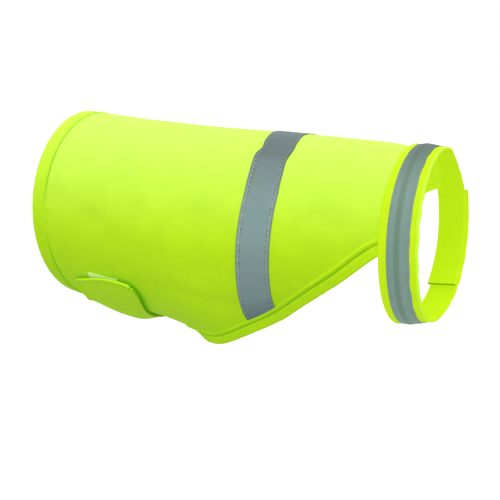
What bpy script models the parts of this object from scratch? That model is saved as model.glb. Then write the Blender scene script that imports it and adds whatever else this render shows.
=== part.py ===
"""Dog safety vest, worn shape with nobody in it: cloth panel, bindings, tapes and hook closures.

Metres, +Z up, +X towards the wearer's head, +Y towards its left side. The origin is where the
wearer's back carries the vest: the inner face of the panel, on the top line.

Two measures lay out every piece on the trunk. The station runs forward from the rear rim. The
turn goes round the trunk in degrees: 0 on the top line, 90 on the right side, 180 under the belly,
and minus 90 on the left side.
"""

import math
from typing import Callable, NamedTuple

import bmesh
import bpy
from mathutils import Vector

# Cloth and seams
PANEL_THICK = 0.0020
STRAP_THICK = 0.0020
TAPE_THICK = 0.0010
HOOK_THICK = 0.0010
SEAM_GAP = 0.0003
GIRTH_STEPS = 46
SHARP_ANGLE = 40.0

# Short steps to either side of a point, for reading a surface's direction there
PROBE_STATION = 0.0005
PROBE_TURN = 0.25
PROBE_ACROSS = 0.01

# Bound edges: a folded strip that rolls round the cut edge and stands a little proud of it
BINDING_WIDTH = 0.0090
HEM_WIDTH = 0.0117
BINDING_PROUD = 0.0009
BINDING_THICK = 0.0036
BINDING_ROUND = 0.0011
# Behind the front legs the chest bindings hang down a little more than the panel does.
BINDING_SAG = 0.80
BINDING_SAG_RISE = (0.112, 0.145)
BINDING_SAG_FALL = (0.205, 0.262)
BINDING_SQUARE_RUN = 0.030

# Body panel
PANEL_REAR = HEM_WIDTH + SEAM_GAP
CHEST_BINDING_FROM = 0.0870
CHEST_BINDING_TO = 0.2805
PANEL_FRONT = 0.2890
HELD_STATION = 0.1400
BELLY_EDGE_FROM = 0.0860
BELLY_EDGE_TO = 0.1300

# Collar strap, a straight 26 mm strap that narrows round the neck
COLLAR_RIGHT_END = 295.0
COLLAR_LEFT_END = -134.5
COLLAR_TAPE_FROM = -62.0
COLLAR_TAPE_TO = 283.0
COLLAR_TAPE_REAR = 0.195
COLLAR_TAPE_FRONT = 0.765
COLLAR_CLIMB_FROM = 168.0
COLLAR_CLIMB_TO = 224.0
COLLAR_HOOK_FROM = 231.0
COLLAR_HOOK_TO = 286.0
COLLAR_HOOK_REAR = 0.16
COLLAR_HOOK_FRONT = 0.84
COLLAR_STEPS = 70
COLLAR_EDGE_SHARE = 0.03
COLLAR_EDGE_ROUND = 0.3
# Under the neck the whole strap hangs back a little, from its sides down.
COLLAR_LEAN = 0.0033
COLLAR_LEAN_OVER = (90.0, 180.0)
# Flats in the strap's front edge fade out towards its middle.
COLLAR_FLAT_ACROSS = (0.3, 1.0)

# Reflective tape round the trunk
BODY_TAPE_WIDTH = 0.0250
TAPE_END_ROUNDS = 6

# Belly flap and the hook tape that it closes on
FLAP_ROOT_TURN = 208.0
FLAP_SEAT_TURN = 195.0
FLAP_SLACK = 0.0040
FLAP_SLACK_TURN = 176.0
FLAP_SLACK_SPREAD = 40.0
FLAP_SLACK_RISE = (0.010, 0.046)
FLAP_SLACK_FALL = (0.052, 0.076)
FLAP_FRONT_HOLD = 0.92

# Grid steps of each flat cut, along its first and its second direction
BODY_TAPE_GRID = (3, 44)
FLAP_GRID = (12, 20)
BELLY_HOOK_GRID = (3, 5)
COLLAR_TAPE_GRID = (4, 60)
COLLAR_HOOK_GRID = (4, 12)


class Section(NamedTuple):
    """Outer face of the trunk at one station."""

    station: float
    top: float
    middle: float
    bottom: float
    half_width: float


class Edge(NamedTuple):
    """Where the panel's two long edges lie at one station, in degrees of turn."""

    station: float
    right: float
    left: float


class TapeCentre(NamedTuple):
    """Station of the body tape's middle line at one turn."""

    turn: float
    station: float


class FlapSide(NamedTuple):
    """Rear and front station of the belly flap at one turn."""

    turn: float
    rear: float
    front: float


class FlapTop(NamedTuple):
    """Turn of the belly flap's upper edge at one station."""

    station: float
    turn: float


class Flat(NamedTuple):
    """Place in the collar strap's front edge where it lies in towards the neck."""

    turn: float
    depth: float
    reach: float


class Loop(NamedTuple):
    """One edge of the collar strap, as an oval round the neck."""

    station: float
    middle: float
    half_height: float
    half_width: float


COLLAR_REAR = Loop(0.2825, -0.0057, 0.0635, 0.0634)
COLLAR_FRONT = Loop(0.3064, -0.0048, 0.0609, 0.0518)

COLLAR_FLATS = (
    Flat(-38.0, 0.0032, 30.0),
    Flat(-95.0, 0.0012, 48.0),
    Flat(-152.0, 0.0028, 32.0),
)


def neck_section(station: float) -> Section:
    """Outer face of the panel where the collar strap lies over it."""
    share = (station - COLLAR_REAR.station) / (COLLAR_FRONT.station - COLLAR_REAR.station)
    under = STRAP_THICK + SEAM_GAP
    middle = COLLAR_REAR.middle + share * (COLLAR_FRONT.middle - COLLAR_REAR.middle)
    height = COLLAR_REAR.half_height + share * (COLLAR_FRONT.half_height - COLLAR_REAR.half_height)
    width = COLLAR_REAR.half_width + share * (COLLAR_FRONT.half_width - COLLAR_REAR.half_width)
    return Section(station, middle + height - under, middle, middle - height + under, width - under)


# The trunk is round at the rear rim, deepest behind the front legs and narrows to the neck.
SECTIONS = (
    Section(0.000, 0.0748, 0.0000, -0.0748, 0.0719),
    Section(0.030, 0.0725, -0.0032, -0.0800, 0.0733),
    Section(0.060, 0.0698, -0.0064, -0.0838, 0.0742),
    Section(0.090, 0.0676, -0.0094, -0.0868, 0.0747),
    Section(0.120, 0.0657, -0.0120, -0.0940, 0.0747),
    Section(0.150, 0.0644, -0.0128, -0.1040, 0.0737),
    Section(0.180, 0.0630, -0.0128, -0.0985, 0.0721),
    Section(0.205, 0.0618, -0.0122, -0.0890, 0.0702),
    Section(0.235, 0.0600, -0.0104, -0.0810, 0.0672),
    Section(0.262, 0.0582, -0.0082, -0.0745, 0.0646),
    neck_section(0.281),
    neck_section(PANEL_FRONT),
)

# The vest sits turned a little towards the wearer's right, so the right edge hangs lower.
EDGES = (
    Edge(0.000, 189.5, -165.5),
    Edge(0.086, 189.5, -165.5),
    Edge(0.094, 182.0, -158.0),
    Edge(0.108, 164.0, -139.0),
    Edge(0.128, 149.5, -123.0),
    Edge(0.155, 139.0, -110.0),
    Edge(0.180, 131.5, -100.0),
    Edge(0.203, 125.5, -93.0),
    Edge(0.225, 115.0, -84.0),
    Edge(0.250, 102.5, -70.0),
    Edge(0.266, 93.0, -60.5),
    Edge(0.281, 85.5, -53.5),
    Edge(PANEL_FRONT, 83.0, -51.0),
)

BODY_TAPE = (
    TapeCentre(-160.0, 0.1895),
    TapeCentre(-90.0, 0.1940),
    TapeCentre(-45.0, 0.1935),
    TapeCentre(0.0, 0.1890),
    TapeCentre(20.0, 0.1922),
    TapeCentre(32.0, 0.1943),
    TapeCentre(45.0, 0.1937),
    TapeCentre(62.0, 0.1953),
    TapeCentre(90.0, 0.1940),
    TapeCentre(110.0, 0.1925),
    TapeCentre(124.0, 0.1925),
    TapeCentre(135.0, 0.1950),
    TapeCentre(180.0, 0.1950),
)

# The flap starts on the left wing under the belly and closes on the right flank.
FLAP_SIDES = (
    FlapSide(118.0, 0.0310, 0.0870),
    FlapSide(122.0, 0.0310, 0.0895),
    FlapSide(126.0, 0.0308, 0.0912),
    FlapSide(130.0, 0.0305, 0.0915),
    FlapSide(137.0, 0.0302, 0.0905),
    FlapSide(143.0, 0.0298, 0.0895),
    FlapSide(150.0, 0.0280, 0.0885),
    FlapSide(160.0, 0.0220, 0.0850),
    FlapSide(170.0, 0.0160, 0.0790),
    FlapSide(178.0, 0.0135, 0.0775),
    FlapSide(184.0, 0.0130, 0.0840),
    FlapSide(190.0, 0.0128, 0.0920),
    FlapSide(198.0, 0.0128, 0.0950),
    FlapSide(208.0, 0.0128, 0.0940),
)

FLAP_TOP = (
    FlapTop(0.0310, 128.0),
    FlapTop(0.0380, 125.5),
    FlapTop(0.0445, 124.0),
    FlapTop(0.0550, 121.5),
    FlapTop(0.0650, 120.2),
    FlapTop(0.0750, 120.2),
    FlapTop(0.0845, 120.9),
    FlapTop(0.0870, 121.4),
)

HOOK_PATCH_REAR = 0.0465
HOOK_PATCH_FRONT = 0.0730
HOOK_PATCH_TOP = 120.6
HOOK_PATCH_TOP_FALL = 0.6
HOOK_PATCH_BOTTOM = 152.0


def read_column(rows: tuple, column: int, at: float) -> float:
    """Smooth value of one column of a table whose first column rises, by cubic segments."""
    keys = [row[0] for row in rows]
    at = min(max(at, keys[0]), keys[-1])
    low = 0
    while low < len(keys) - 2 and at > keys[low + 1]:
        low += 1
    span = keys[low + 1] - keys[low]
    share = (at - keys[low]) / span

    def slope(index: int) -> float:
        before = max(index - 1, 0)
        after = min(index + 1, len(rows) - 1)
        return (rows[after][column] - rows[before][column]) / (keys[after] - keys[before])

    start, end = rows[low][column], rows[low + 1][column]
    square, cube = share * share, share * share * share
    return (
        (2 * cube - 3 * square + 1) * start
        + (cube - 2 * square + share) * span * slope(low)
        + (3 * square - 2 * cube) * end
        + (cube - square) * span * slope(low + 1)
    )


def smooth_step(start: float, end: float, at: float) -> float:
    """Nought before start, one after end, and an even rise between."""
    share = min(max((at - start) / (end - start), 0.0), 1.0)
    return share * share * (3.0 - 2.0 * share)


def blend(start: float, end: float, share: float) -> float:
    """Straight mix of two values."""
    return start + (end - start) * share


HELD_HEIGHT = read_column(SECTIONS, 1, HELD_STATION) - PANEL_THICK


def trunk_face(station: float, turn: float) -> Vector:
    """Point on the trunk's outer face."""
    top, middle, bottom, half_width = (
        read_column(SECTIONS, column, station) for column in range(1, 5)
    )
    angle = math.radians(turn)
    reach = top - middle if math.cos(angle) > 0.0 else middle - bottom
    return Vector((
        station - HELD_STATION,
        -half_width * math.sin(angle),
        middle + reach * math.cos(angle) - HELD_HEIGHT,
    ))


def trunk_normal(station: float, turn: float) -> Vector:
    """Outward direction of the trunk's face."""
    ahead, behind = station + PROBE_STATION, station - PROBE_STATION
    along = trunk_face(ahead, turn) - trunk_face(behind, turn)
    across = trunk_face(station, turn - PROBE_TURN) - trunk_face(station, turn + PROBE_TURN)
    return along.cross(across).normalized()


def trunk(station: float, turn: float, lift: float = 0.0) -> Vector:
    """Point that stands off the trunk's outer face by lift."""
    return trunk_face(station, turn) + trunk_normal(station, turn) * lift


def turn_apart(first: float, second: float) -> float:
    """Degrees from the second turn on to the first, the short way round."""
    return (first - second + 180.0) % 360.0 - 180.0


def collar_pressed(turn: float) -> float:
    """How far the strap's front edge lies in towards the neck at one turn."""
    pressed = 0.0
    for flat in COLLAR_FLATS:
        away = turn_apart(turn, flat.turn) / flat.reach
        pressed += flat.depth * max(1.0 - away * away, 0.0) ** 2
    return pressed


def collar_face(across: float, turn: float) -> Vector:
    """Point on the collar strap's outer face; across is 0 on its rear edge and 1 on its front."""
    angle = math.radians(turn)
    loop = [blend(rear, front, across) for rear, front in zip(COLLAR_REAR, COLLAR_FRONT)]
    station, middle, half_height, half_width = loop
    lean = COLLAR_LEAN * smooth_step(*COLLAR_LEAN_OVER, abs(turn_apart(turn, 0.0)))
    pressed = collar_pressed(turn) * smooth_step(*COLLAR_FLAT_ACROSS, across)
    return Vector((
        station - lean - HELD_STATION,
        -(half_width - pressed) * math.sin(angle),
        middle + (half_height - pressed) * math.cos(angle) - HELD_HEIGHT,
    ))


def collar(across: float, turn: float, lift: float = 0.0) -> Vector:
    """Point that stands off the collar strap's face, which climbs over its own end on the left."""
    along = collar_face(across + PROBE_ACROSS, turn) - collar_face(across - PROBE_ACROSS, turn)
    before, after = turn - PROBE_TURN, turn + PROBE_TURN
    round_neck = collar_face(across, before) - collar_face(across, after)
    layer = STRAP_THICK + HOOK_THICK + 2.0 * SEAM_GAP
    climb = layer * smooth_step(COLLAR_CLIMB_FROM, COLLAR_CLIMB_TO, turn)
    return collar_face(across, turn) + along.cross(round_neck).normalized() * (lift + climb)


def spread(start: float, end: float, steps: int) -> list:
    """Even steps from start up to, but not including, end."""
    return [blend(start, end, step / steps) for step in range(steps)]


def panel_stations() -> list:
    """Stations of the panel's grid, closest where its edges turn up from the belly."""
    rear = spread(PANEL_REAR, BELLY_EDGE_FROM, 8)
    bend = spread(BELLY_EDGE_FROM, BELLY_EDGE_TO, 10)
    return rear + bend + spread(BELLY_EDGE_TO, PANEL_FRONT, 15) + [PANEL_FRONT]


def right_edge(station: float) -> float:
    """Turn of the panel's right edge."""
    return read_column(EDGES, 1, station)


def left_edge(station: float) -> float:
    """Turn of the panel's left edge."""
    return read_column(EDGES, 2, station)


def make_material(name: str, colour: tuple, roughness: float) -> bpy.types.Material:
    """Plain cloth finish."""
    material = bpy.data.materials.new(name)
    material.use_nodes = True
    shader = material.node_tree.nodes["Principled BSDF"]
    shader.inputs["Base Color"].default_value = (*colour, 1.0)
    shader.inputs["Roughness"].default_value = roughness
    shader.inputs["Metallic"].default_value = 0.0
    return material


def add_object(name: str, mesh_edit: bmesh.types.BMesh, material: bpy.types.Material) -> bpy.types.Object:
    """Turn a finished bmesh into an object of the scene."""
    mesh = bpy.data.meshes.new(name)
    mesh_edit.to_mesh(mesh)
    mesh_edit.free()
    mesh.shade_smooth()
    mesh.set_sharp_from_angle(angle=math.radians(SHARP_ANGLE))
    mesh.materials.append(material)
    piece = bpy.data.objects.new(name, mesh)
    bpy.context.scene.collection.objects.link(piece)
    return piece


def cloth_sheet(
    name: str,
    surface: Callable[[float, float], Vector],
    steps: tuple,
    thickness: float,
    material: bpy.types.Material,
) -> bpy.types.Object:
    """Cut of cloth: a grid laid on its outer face, then thickened inwards."""
    mesh_edit = bmesh.new()
    bmesh.ops.create_grid(mesh_edit, x_segments=steps[0], y_segments=steps[1], size=0.5)
    for vertex in mesh_edit.verts:
        vertex.co = surface(vertex.co.x + 0.5, vertex.co.y + 0.5)
    piece = add_object(name, mesh_edit, material)
    wall = piece.modifiers.new("wall", "SOLIDIFY")
    wall.thickness = thickness
    wall.offset = -1.0
    wall.use_even_offset = True
    return piece


def swept_strip(
    name: str,
    place: Callable[[float, float, float], Vector],
    profile: list,
    stops: int,
    material: bpy.types.Material,
) -> bpy.types.Object:
    """Strip of cloth: its closed cross-section, pulled along its length from 0 to 1."""
    mesh_edit = bmesh.new()
    end_face = mesh_edit.faces.new([mesh_edit.verts.new(place(0.0, *spot)) for spot in profile])
    for stop in range(1, stops + 1):
        pulled = bmesh.ops.extrude_face_region(mesh_edit, geom=[end_face])["geom"]
        if stop > 1:
            mesh_edit.faces.remove(end_face)
        end_face = next(item for item in pulled if isinstance(item, bmesh.types.BMFace))
        for vertex, spot in zip(end_face.verts, profile):
            vertex.co = place(stop / stops, *spot)
    bmesh.ops.recalc_face_normals(mesh_edit, faces=mesh_edit.faces)
    return add_object(name, mesh_edit, material)


def rounded_profile(start: float, end: float, low: float, high: float, round_off: float) -> list:
    """Flat strip's cross-section with its four corners taken off, as (across, height) pairs."""
    return [
        (start, low + round_off),
        (start + round_off, low),
        (end - round_off, low),
        (end, low + round_off),
        (end, high - round_off),
        (end - round_off, high),
        (start + round_off, high),
        (start, high - round_off),
    ]


def build_body_panel(material: bpy.types.Material) -> None:
    """Back and both wings in one cut, from under the belly on the right round to the left."""
    stations = panel_stations()
    steps = len(stations) - 1

    def surface(along: float, across: float) -> Vector:
        station = stations[round(along * steps)]
        return trunk(station, blend(right_edge(station), left_edge(station), across))

    cloth_sheet("body_panel", surface, (steps, GIRTH_STEPS), PANEL_THICK, material)


def build_rear_hem(material: bpy.types.Material) -> None:
    """Binding round the rear rim, over the panel's whole rear edge."""
    low = BINDING_PROUD - BINDING_THICK

    def place(share: float, across: float, height: float) -> Vector:
        return trunk(across, blend(right_edge(0.0), left_edge(0.0), share), height)

    profile = rounded_profile(0.0, HEM_WIDTH, low, BINDING_PROUD, BINDING_ROUND)
    swept_strip("rear_hem_binding", place, profile, GIRTH_STEPS, material)


class BindingRun(NamedTuple):
    """Path of one chest binding: its edge of the panel, and the side that it faces."""

    edge: Callable[[float], float]
    side: float


def build_chest_binding(name: str, run: BindingRun, material: bpy.types.Material) -> None:
    """Binding along one chest edge, from under the belly up to the collar."""
    low = BINDING_PROUD - BINDING_THICK
    stations = [at for at in panel_stations() if CHEST_BINDING_FROM < at < CHEST_BINDING_TO]
    stations.append(CHEST_BINDING_TO)
    stops = len(stations) - 1

    def place(share: float, across: float, height: float) -> Vector:
        station = stations[round(share * stops)]
        ahead, behind = station + 2.0 * PROBE_STATION, station - 2.0 * PROBE_STATION
        root = trunk(station, run.edge(station))
        along = trunk(ahead, run.edge(ahead)) - trunk(behind, run.edge(behind))
        normal = trunk_normal(station, run.edge(station))
        away = along.cross(normal).normalized() * run.side
        past_edge = run.edge(station) + PROBE_TURN * run.side
        down = (trunk_face(station, past_edge) - root).normalized()
        square = smooth_step(CHEST_BINDING_TO - BINDING_SQUARE_RUN, CHEST_BINDING_TO, station)
        away = away.lerp(down / away.dot(down), square)
        sag = smooth_step(*BINDING_SAG_RISE, station) - smooth_step(*BINDING_SAG_FALL, station)
        hung = away + Vector((0.0, 0.0, -BINDING_SAG * sag))
        away = hung.normalized() * away.length
        normal = (normal - away * (normal.dot(away) / away.length_squared)).normalized()
        return root + away * (SEAM_GAP + across) + normal * height

    profile = rounded_profile(0.0, BINDING_WIDTH, low, BINDING_PROUD, BINDING_ROUND)
    swept_strip(name, place, profile, stops, material)


def build_body_tape(material: bpy.types.Material) -> None:
    """Reflective tape over the back, from chest edge to chest edge."""

    def tape_station(along: float, turn: float) -> float:
        return read_column(BODY_TAPE, 1, turn) + (along - 0.5) * BODY_TAPE_WIDTH

    def end_turn(along: float, edge: Callable[[float], float]) -> float:
        turn = 0.0
        for _ in range(TAPE_END_ROUNDS):
            turn = edge(tape_station(along, turn))
        return turn

    def surface(along: float, across: float) -> Vector:
        turn = blend(end_turn(along, right_edge), end_turn(along, left_edge), across)
        return trunk(tape_station(along, turn), turn, SEAM_GAP + TAPE_THICK)

    cloth_sheet("body_reflective_tape", surface, BODY_TAPE_GRID, TAPE_THICK, material)


def flap_lift(station: float, turn: float) -> float:
    """Height of the flap's outer face over the panel: it hangs slack between root and closure."""
    closed = HOOK_THICK + 2.0 * SEAM_GAP
    seat = blend(closed, SEAM_GAP, smooth_step(FLAP_SEAT_TURN, FLAP_ROOT_TURN, turn))
    reach = (turn - FLAP_SLACK_TURN) / FLAP_SLACK_SPREAD
    rear_free = smooth_step(*FLAP_SLACK_RISE, station)
    front_free = 1.0 - FLAP_FRONT_HOLD * smooth_step(*FLAP_SLACK_FALL, station)
    slack = FLAP_SLACK * rear_free * front_free * max(1.0 - reach * reach, 0.0) ** 2
    return seat + slack + PANEL_THICK


def build_belly_flap(material: bpy.types.Material) -> None:
    """Closing flap: sewn to the left wing under the belly, pressed on the right flank."""
    corner = FLAP_SIDES[0]

    def surface(along: float, across: float) -> Vector:
        top_turn = read_column(FLAP_TOP, 1, blend(corner.rear, corner.front, along))
        turn = blend(FLAP_ROOT_TURN, top_turn, across)
        rear = read_column(FLAP_SIDES, 1, turn)
        front = read_column(FLAP_SIDES, 2, turn)
        station = blend(rear, front, along)
        return trunk(station, turn, flap_lift(station, turn))

    cloth_sheet("belly_flap", surface, FLAP_GRID, PANEL_THICK, material)


def build_belly_hook(material: bpy.types.Material) -> None:
    """Hook tape sewn on the right flank, under the flap, with a corner that looks out above it."""

    def surface(along: float, across: float) -> Vector:
        station = blend(HOOK_PATCH_REAR, HOOK_PATCH_FRONT, along)
        top = HOOK_PATCH_TOP + HOOK_PATCH_TOP_FALL * along
        return trunk(station, blend(HOOK_PATCH_BOTTOM, top, across), SEAM_GAP + HOOK_THICK)

    cloth_sheet("belly_hook_tape", surface, BELLY_HOOK_GRID, HOOK_THICK, material)


def build_collar(yellow: bpy.types.Material, silver: bpy.types.Material, hook: bpy.types.Material) -> None:
    """Neck strap, whose ends lap on the left, with its reflective tape and its hook tape."""

    def strap_place(share: float, across: float, height: float) -> Vector:
        turn = blend(COLLAR_LEFT_END, COLLAR_RIGHT_END, share)
        return collar(across, turn, height)

    shoulder = COLLAR_EDGE_ROUND * STRAP_THICK
    rows = spread(COLLAR_TAPE_REAR, COLLAR_TAPE_FRONT, COLLAR_TAPE_GRID[0]) + [COLLAR_TAPE_FRONT]
    rows = [COLLAR_EDGE_SHARE, *rows, 1.0 - COLLAR_EDGE_SHARE]
    inner = [(0.0, shoulder), *[(across, 0.0) for across in rows], (1.0, shoulder)]
    outer = [(1.0, -shoulder), *[(across, 0.0) for across in reversed(rows)], (0.0, -shoulder)]
    profile = [(across, height - STRAP_THICK) for across, height in inner] + outer
    swept_strip("collar_strap", strap_place, profile, COLLAR_STEPS, yellow)

    def tape_surface(along: float, across: float) -> Vector:
        turn = blend(COLLAR_TAPE_TO, COLLAR_TAPE_FROM, across)
        return collar(blend(COLLAR_TAPE_REAR, COLLAR_TAPE_FRONT, along), turn, SEAM_GAP + TAPE_THICK)

    cloth_sheet("collar_reflective_tape", tape_surface, COLLAR_TAPE_GRID, TAPE_THICK, silver)

    def hook_surface(along: float, across: float) -> Vector:
        turn = blend(COLLAR_HOOK_TO, COLLAR_HOOK_FROM, across)
        shift = -STRAP_THICK - SEAM_GAP
        return collar(blend(COLLAR_HOOK_REAR, COLLAR_HOOK_FRONT, along), turn, shift)

    cloth_sheet("collar_hook_tape", hook_surface, COLLAR_HOOK_GRID, HOOK_THICK, hook)


def main() -> None:
    """Clear the scene and build every piece."""
    for old in list(bpy.data.objects):
        bpy.data.objects.remove(old, do_unlink=True)
    yellow = make_material("safety_yellow_cloth", (0.55, 0.90, 0.03), 0.85)
    binding = make_material("yellow_binding", (0.50, 0.86, 0.03), 0.85)
    silver = make_material("silver_tape", (0.26, 0.32, 0.31), 0.45)
    hook = make_material("pale_hook_tape", (0.62, 0.66, 0.55), 0.80)
    build_body_panel(yellow)
    build_rear_hem(binding)
    build_chest_binding("chest_binding_right", BindingRun(right_edge, 1.0), binding)
    build_chest_binding("chest_binding_left", BindingRun(left_edge, -1.0), binding)
    build_body_tape(silver)
    build_belly_flap(yellow)
    build_belly_hook(hook)
    build_collar(yellow, silver, hook)


main()
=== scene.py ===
"""Dog safety vest, worn shape with nobody in it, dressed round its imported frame.

Metres, +Z up, +X towards the wearer's head, +Y towards its left side. The origin is where the
wearer's back carries the vest. A station runs forward from the rear rim. A turn goes round the
trunk in degrees: 0 on the top line, 90 on the right side, 180 under the belly, minus 90 on the left.
"""

import logging
import math
from dataclasses import dataclass, field
from enum import Enum
from typing import Callable, NamedTuple

import bmesh
import bpy
import numpy as np
from mathutils import Matrix, Vector


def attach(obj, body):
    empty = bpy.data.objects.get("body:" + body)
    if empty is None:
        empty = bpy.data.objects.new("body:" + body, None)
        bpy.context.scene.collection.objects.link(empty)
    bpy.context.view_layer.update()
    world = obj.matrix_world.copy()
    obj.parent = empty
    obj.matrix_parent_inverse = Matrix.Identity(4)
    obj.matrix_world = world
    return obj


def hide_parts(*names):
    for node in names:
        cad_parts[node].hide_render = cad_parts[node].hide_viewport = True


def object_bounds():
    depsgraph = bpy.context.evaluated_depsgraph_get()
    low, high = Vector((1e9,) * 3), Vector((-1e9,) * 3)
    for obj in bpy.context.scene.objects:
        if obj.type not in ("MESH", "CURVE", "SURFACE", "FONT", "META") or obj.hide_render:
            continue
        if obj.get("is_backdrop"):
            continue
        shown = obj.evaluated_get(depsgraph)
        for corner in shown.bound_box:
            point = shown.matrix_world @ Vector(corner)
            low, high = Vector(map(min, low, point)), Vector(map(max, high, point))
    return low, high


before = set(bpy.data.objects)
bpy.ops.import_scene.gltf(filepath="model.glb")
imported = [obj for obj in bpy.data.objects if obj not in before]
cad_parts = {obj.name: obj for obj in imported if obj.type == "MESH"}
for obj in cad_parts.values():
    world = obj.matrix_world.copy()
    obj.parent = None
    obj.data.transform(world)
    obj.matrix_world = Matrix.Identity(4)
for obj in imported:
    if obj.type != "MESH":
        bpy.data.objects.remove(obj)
cad_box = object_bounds()

log = logging.getLogger("dog_safety_vest")

Values = np.ndarray
Surface = Callable[[Values, Values], Values]
Span = tuple[float, float]
Mesh = bmesh.types.BMesh
Node = bpy.types.Node
Tree = bpy.types.NodeTree
Socket = bpy.types.NodeSocket

BODY = "root"
CLOTH_UV = "cloth"
SEAM_GAP = 0.0003
SHARP_ANGLE = 48.0
MERGE_REACH = 1e-7


class Slot(Enum):
    """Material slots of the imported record."""

    CLOTH = "yellow_cloth"
    BINDING = "yellow_binding"
    BAND = "silver_tape"
    STRAP = "collar_cloth"
    STRAP_BAND = "collar_silver_tape"
    HOOKS = "hook_tape"


class Hold(Enum):
    """How a cut of cloth is held."""

    DRAPED = "draped"
    LAID = "laid"
    FOLDED = "folded"


class Side(Enum):
    """Side of the wearer, as the sign of its turn."""

    RIGHT = 1.0
    LEFT = -1.0


# ---- Tables of the cut, by station and turn ----


class TrunkRow(NamedTuple):
    """Outer face of the trunk at one station."""

    station: float
    top: float
    middle: float
    bottom: float
    half_width: float


class EdgeRow(NamedTuple):
    """Where the back cloth's two long edges lie at one station, in degrees of turn."""

    station: float
    right: float
    left: float


class BandRow(NamedTuple):
    """Station of the reflective band's middle line at one turn."""

    turn: float
    station: float


class FlapRow(NamedTuple):
    """Rear and front station of the belly flap at one turn."""

    turn: float
    rear: float
    front: float


class FlapTopRow(NamedTuple):
    """Turn of the belly flap's upper edge at one station."""

    station: float
    turn: float


class NeckLoop(NamedTuple):
    """One edge of the neck strap, as an oval round the neck."""

    station: float
    middle: float
    half_height: float
    half_width: float


class NeckFlat(NamedTuple):
    """Place in the neck strap's front edge where it lies in towards the neck."""

    turn: float
    depth: float
    reach: float


class Crease(NamedTuple):
    """Soft trough between two places on the trunk; a ridge where its depth is negative."""

    from_station: float
    from_turn: float
    to_station: float
    to_turn: float
    depth: float
    width: float


def table(kind: type, *rows: tuple) -> tuple:
    """Rows of one kind, each given by its plain numbers."""
    return tuple(kind(*row) for row in rows)


NECK_REAR = NeckLoop(0.2825, -0.0057, 0.0635, 0.0634)
NECK_FRONT = NeckLoop(0.3064, -0.0048, 0.0609, 0.0518)
NECK_FLATS = table(
    NeckFlat,
    (-38.0, 0.0032, 30.0),
    (-95.0, 0.0012, 48.0),
    (-152.0, 0.001, 32.0),
)
STRAP_WALL = 0.002
CLOTH_WALL = 0.002
CLOTH_FRONT = 0.289


def neck_row(station: float) -> TrunkRow:
    """Outer face of the back cloth where the neck strap lies over it.

    Args:
        station: distance forward of the rear rim.

    Returns:
        The trunk's row there, one strap's wall inside the neck loops.
    """
    share = (station - NECK_REAR.station) / (NECK_FRONT.station - NECK_REAR.station)
    under = STRAP_WALL + SEAM_GAP
    middle, height, width = (
        rear + share * (front - rear) for rear, front in zip(NECK_REAR[1:], NECK_FRONT[1:])
    )
    return TrunkRow(station, middle + height - under, middle, middle - height + under, width - under)


# The trunk is round at the rear rim, deepest behind the front legs and narrows to the neck.
TRUNK_ROWS = (
    TrunkRow(0.0, 0.0748, 0.0, -0.0748, 0.0719),
    TrunkRow(0.03, 0.0725, -0.0032, -0.08, 0.0733),
    TrunkRow(0.06, 0.0698, -0.0064, -0.0838, 0.0742),
    TrunkRow(0.09, 0.0676, -0.0094, -0.0868, 0.0747),
    TrunkRow(0.12, 0.0657, -0.012, -0.094, 0.0747),
    TrunkRow(0.15, 0.0644, -0.0128, -0.104, 0.0737),
    TrunkRow(0.18, 0.063, -0.0128, -0.0985, 0.0721),
    TrunkRow(0.205, 0.0618, -0.0122, -0.089, 0.0702),
    TrunkRow(0.235, 0.06, -0.0104, -0.081, 0.0672),
    TrunkRow(0.262, 0.0582, -0.0082, -0.0745, 0.0646),
    neck_row(0.281),
    neck_row(CLOTH_FRONT),
)

# The vest sits turned a little towards the wearer's right, so the right edge hangs lower.
EDGE_ROWS = table(
    EdgeRow,
    (0.0, 189.5, -165.5),
    (0.086, 189.5, -165.5),
    (0.094, 182.0, -158.0),
    (0.108, 164.0, -139.0),
    (0.128, 149.5, -123.0),
    (0.155, 139.0, -110.0),
    (0.18, 131.5, -100.0),
    (0.203, 125.5, -93.0),
    (0.225, 115.0, -84.0),
    (0.25, 102.5, -70.0),
    (0.266, 93.0, -60.5),
    (0.281, 85.5, -53.5),
    (CLOTH_FRONT, 83.0, -51.0),
)

BAND_ROWS = table(
    BandRow,
    (-160.0, 0.1895),
    (-90.0, 0.194),
    (-45.0, 0.1935),
    (0.0, 0.189),
    (20.0, 0.1922),
    (30.0, 0.1948),
    (50.0, 0.1948),
    (62.0, 0.1955),
    (90.0, 0.194),
    (110.0, 0.1925),
    (124.0, 0.1925),
    (135.0, 0.195),
    (180.0, 0.195),
)

FLAP_ROWS = table(
    FlapRow,
    (118.0, 0.031, 0.087),
    (122.0, 0.031, 0.0895),
    (126.0, 0.0308, 0.0912),
    (130.0, 0.0305, 0.0915),
    (137.0, 0.0302, 0.0893),
    (143.0, 0.0298, 0.0868),
    (150.0, 0.027, 0.0833),
    (160.0, 0.02, 0.0802),
    (170.0, 0.0145, 0.0798),
    (178.0, 0.013, 0.0806),
    (184.0, 0.0128, 0.085),
    (190.0, 0.0128, 0.092),
    (198.0, 0.0128, 0.095),
    (208.0, 0.0128, 0.094),
)

FLAP_TOP_ROWS = table(
    FlapTopRow,
    (0.031, 128.0),
    (0.038, 125.5),
    (0.0445, 124.0),
    (0.055, 121.5),
    (0.065, 120.2),
    (0.075, 120.2),
    (0.0845, 120.9),
    (0.087, 121.4),
)

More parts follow.
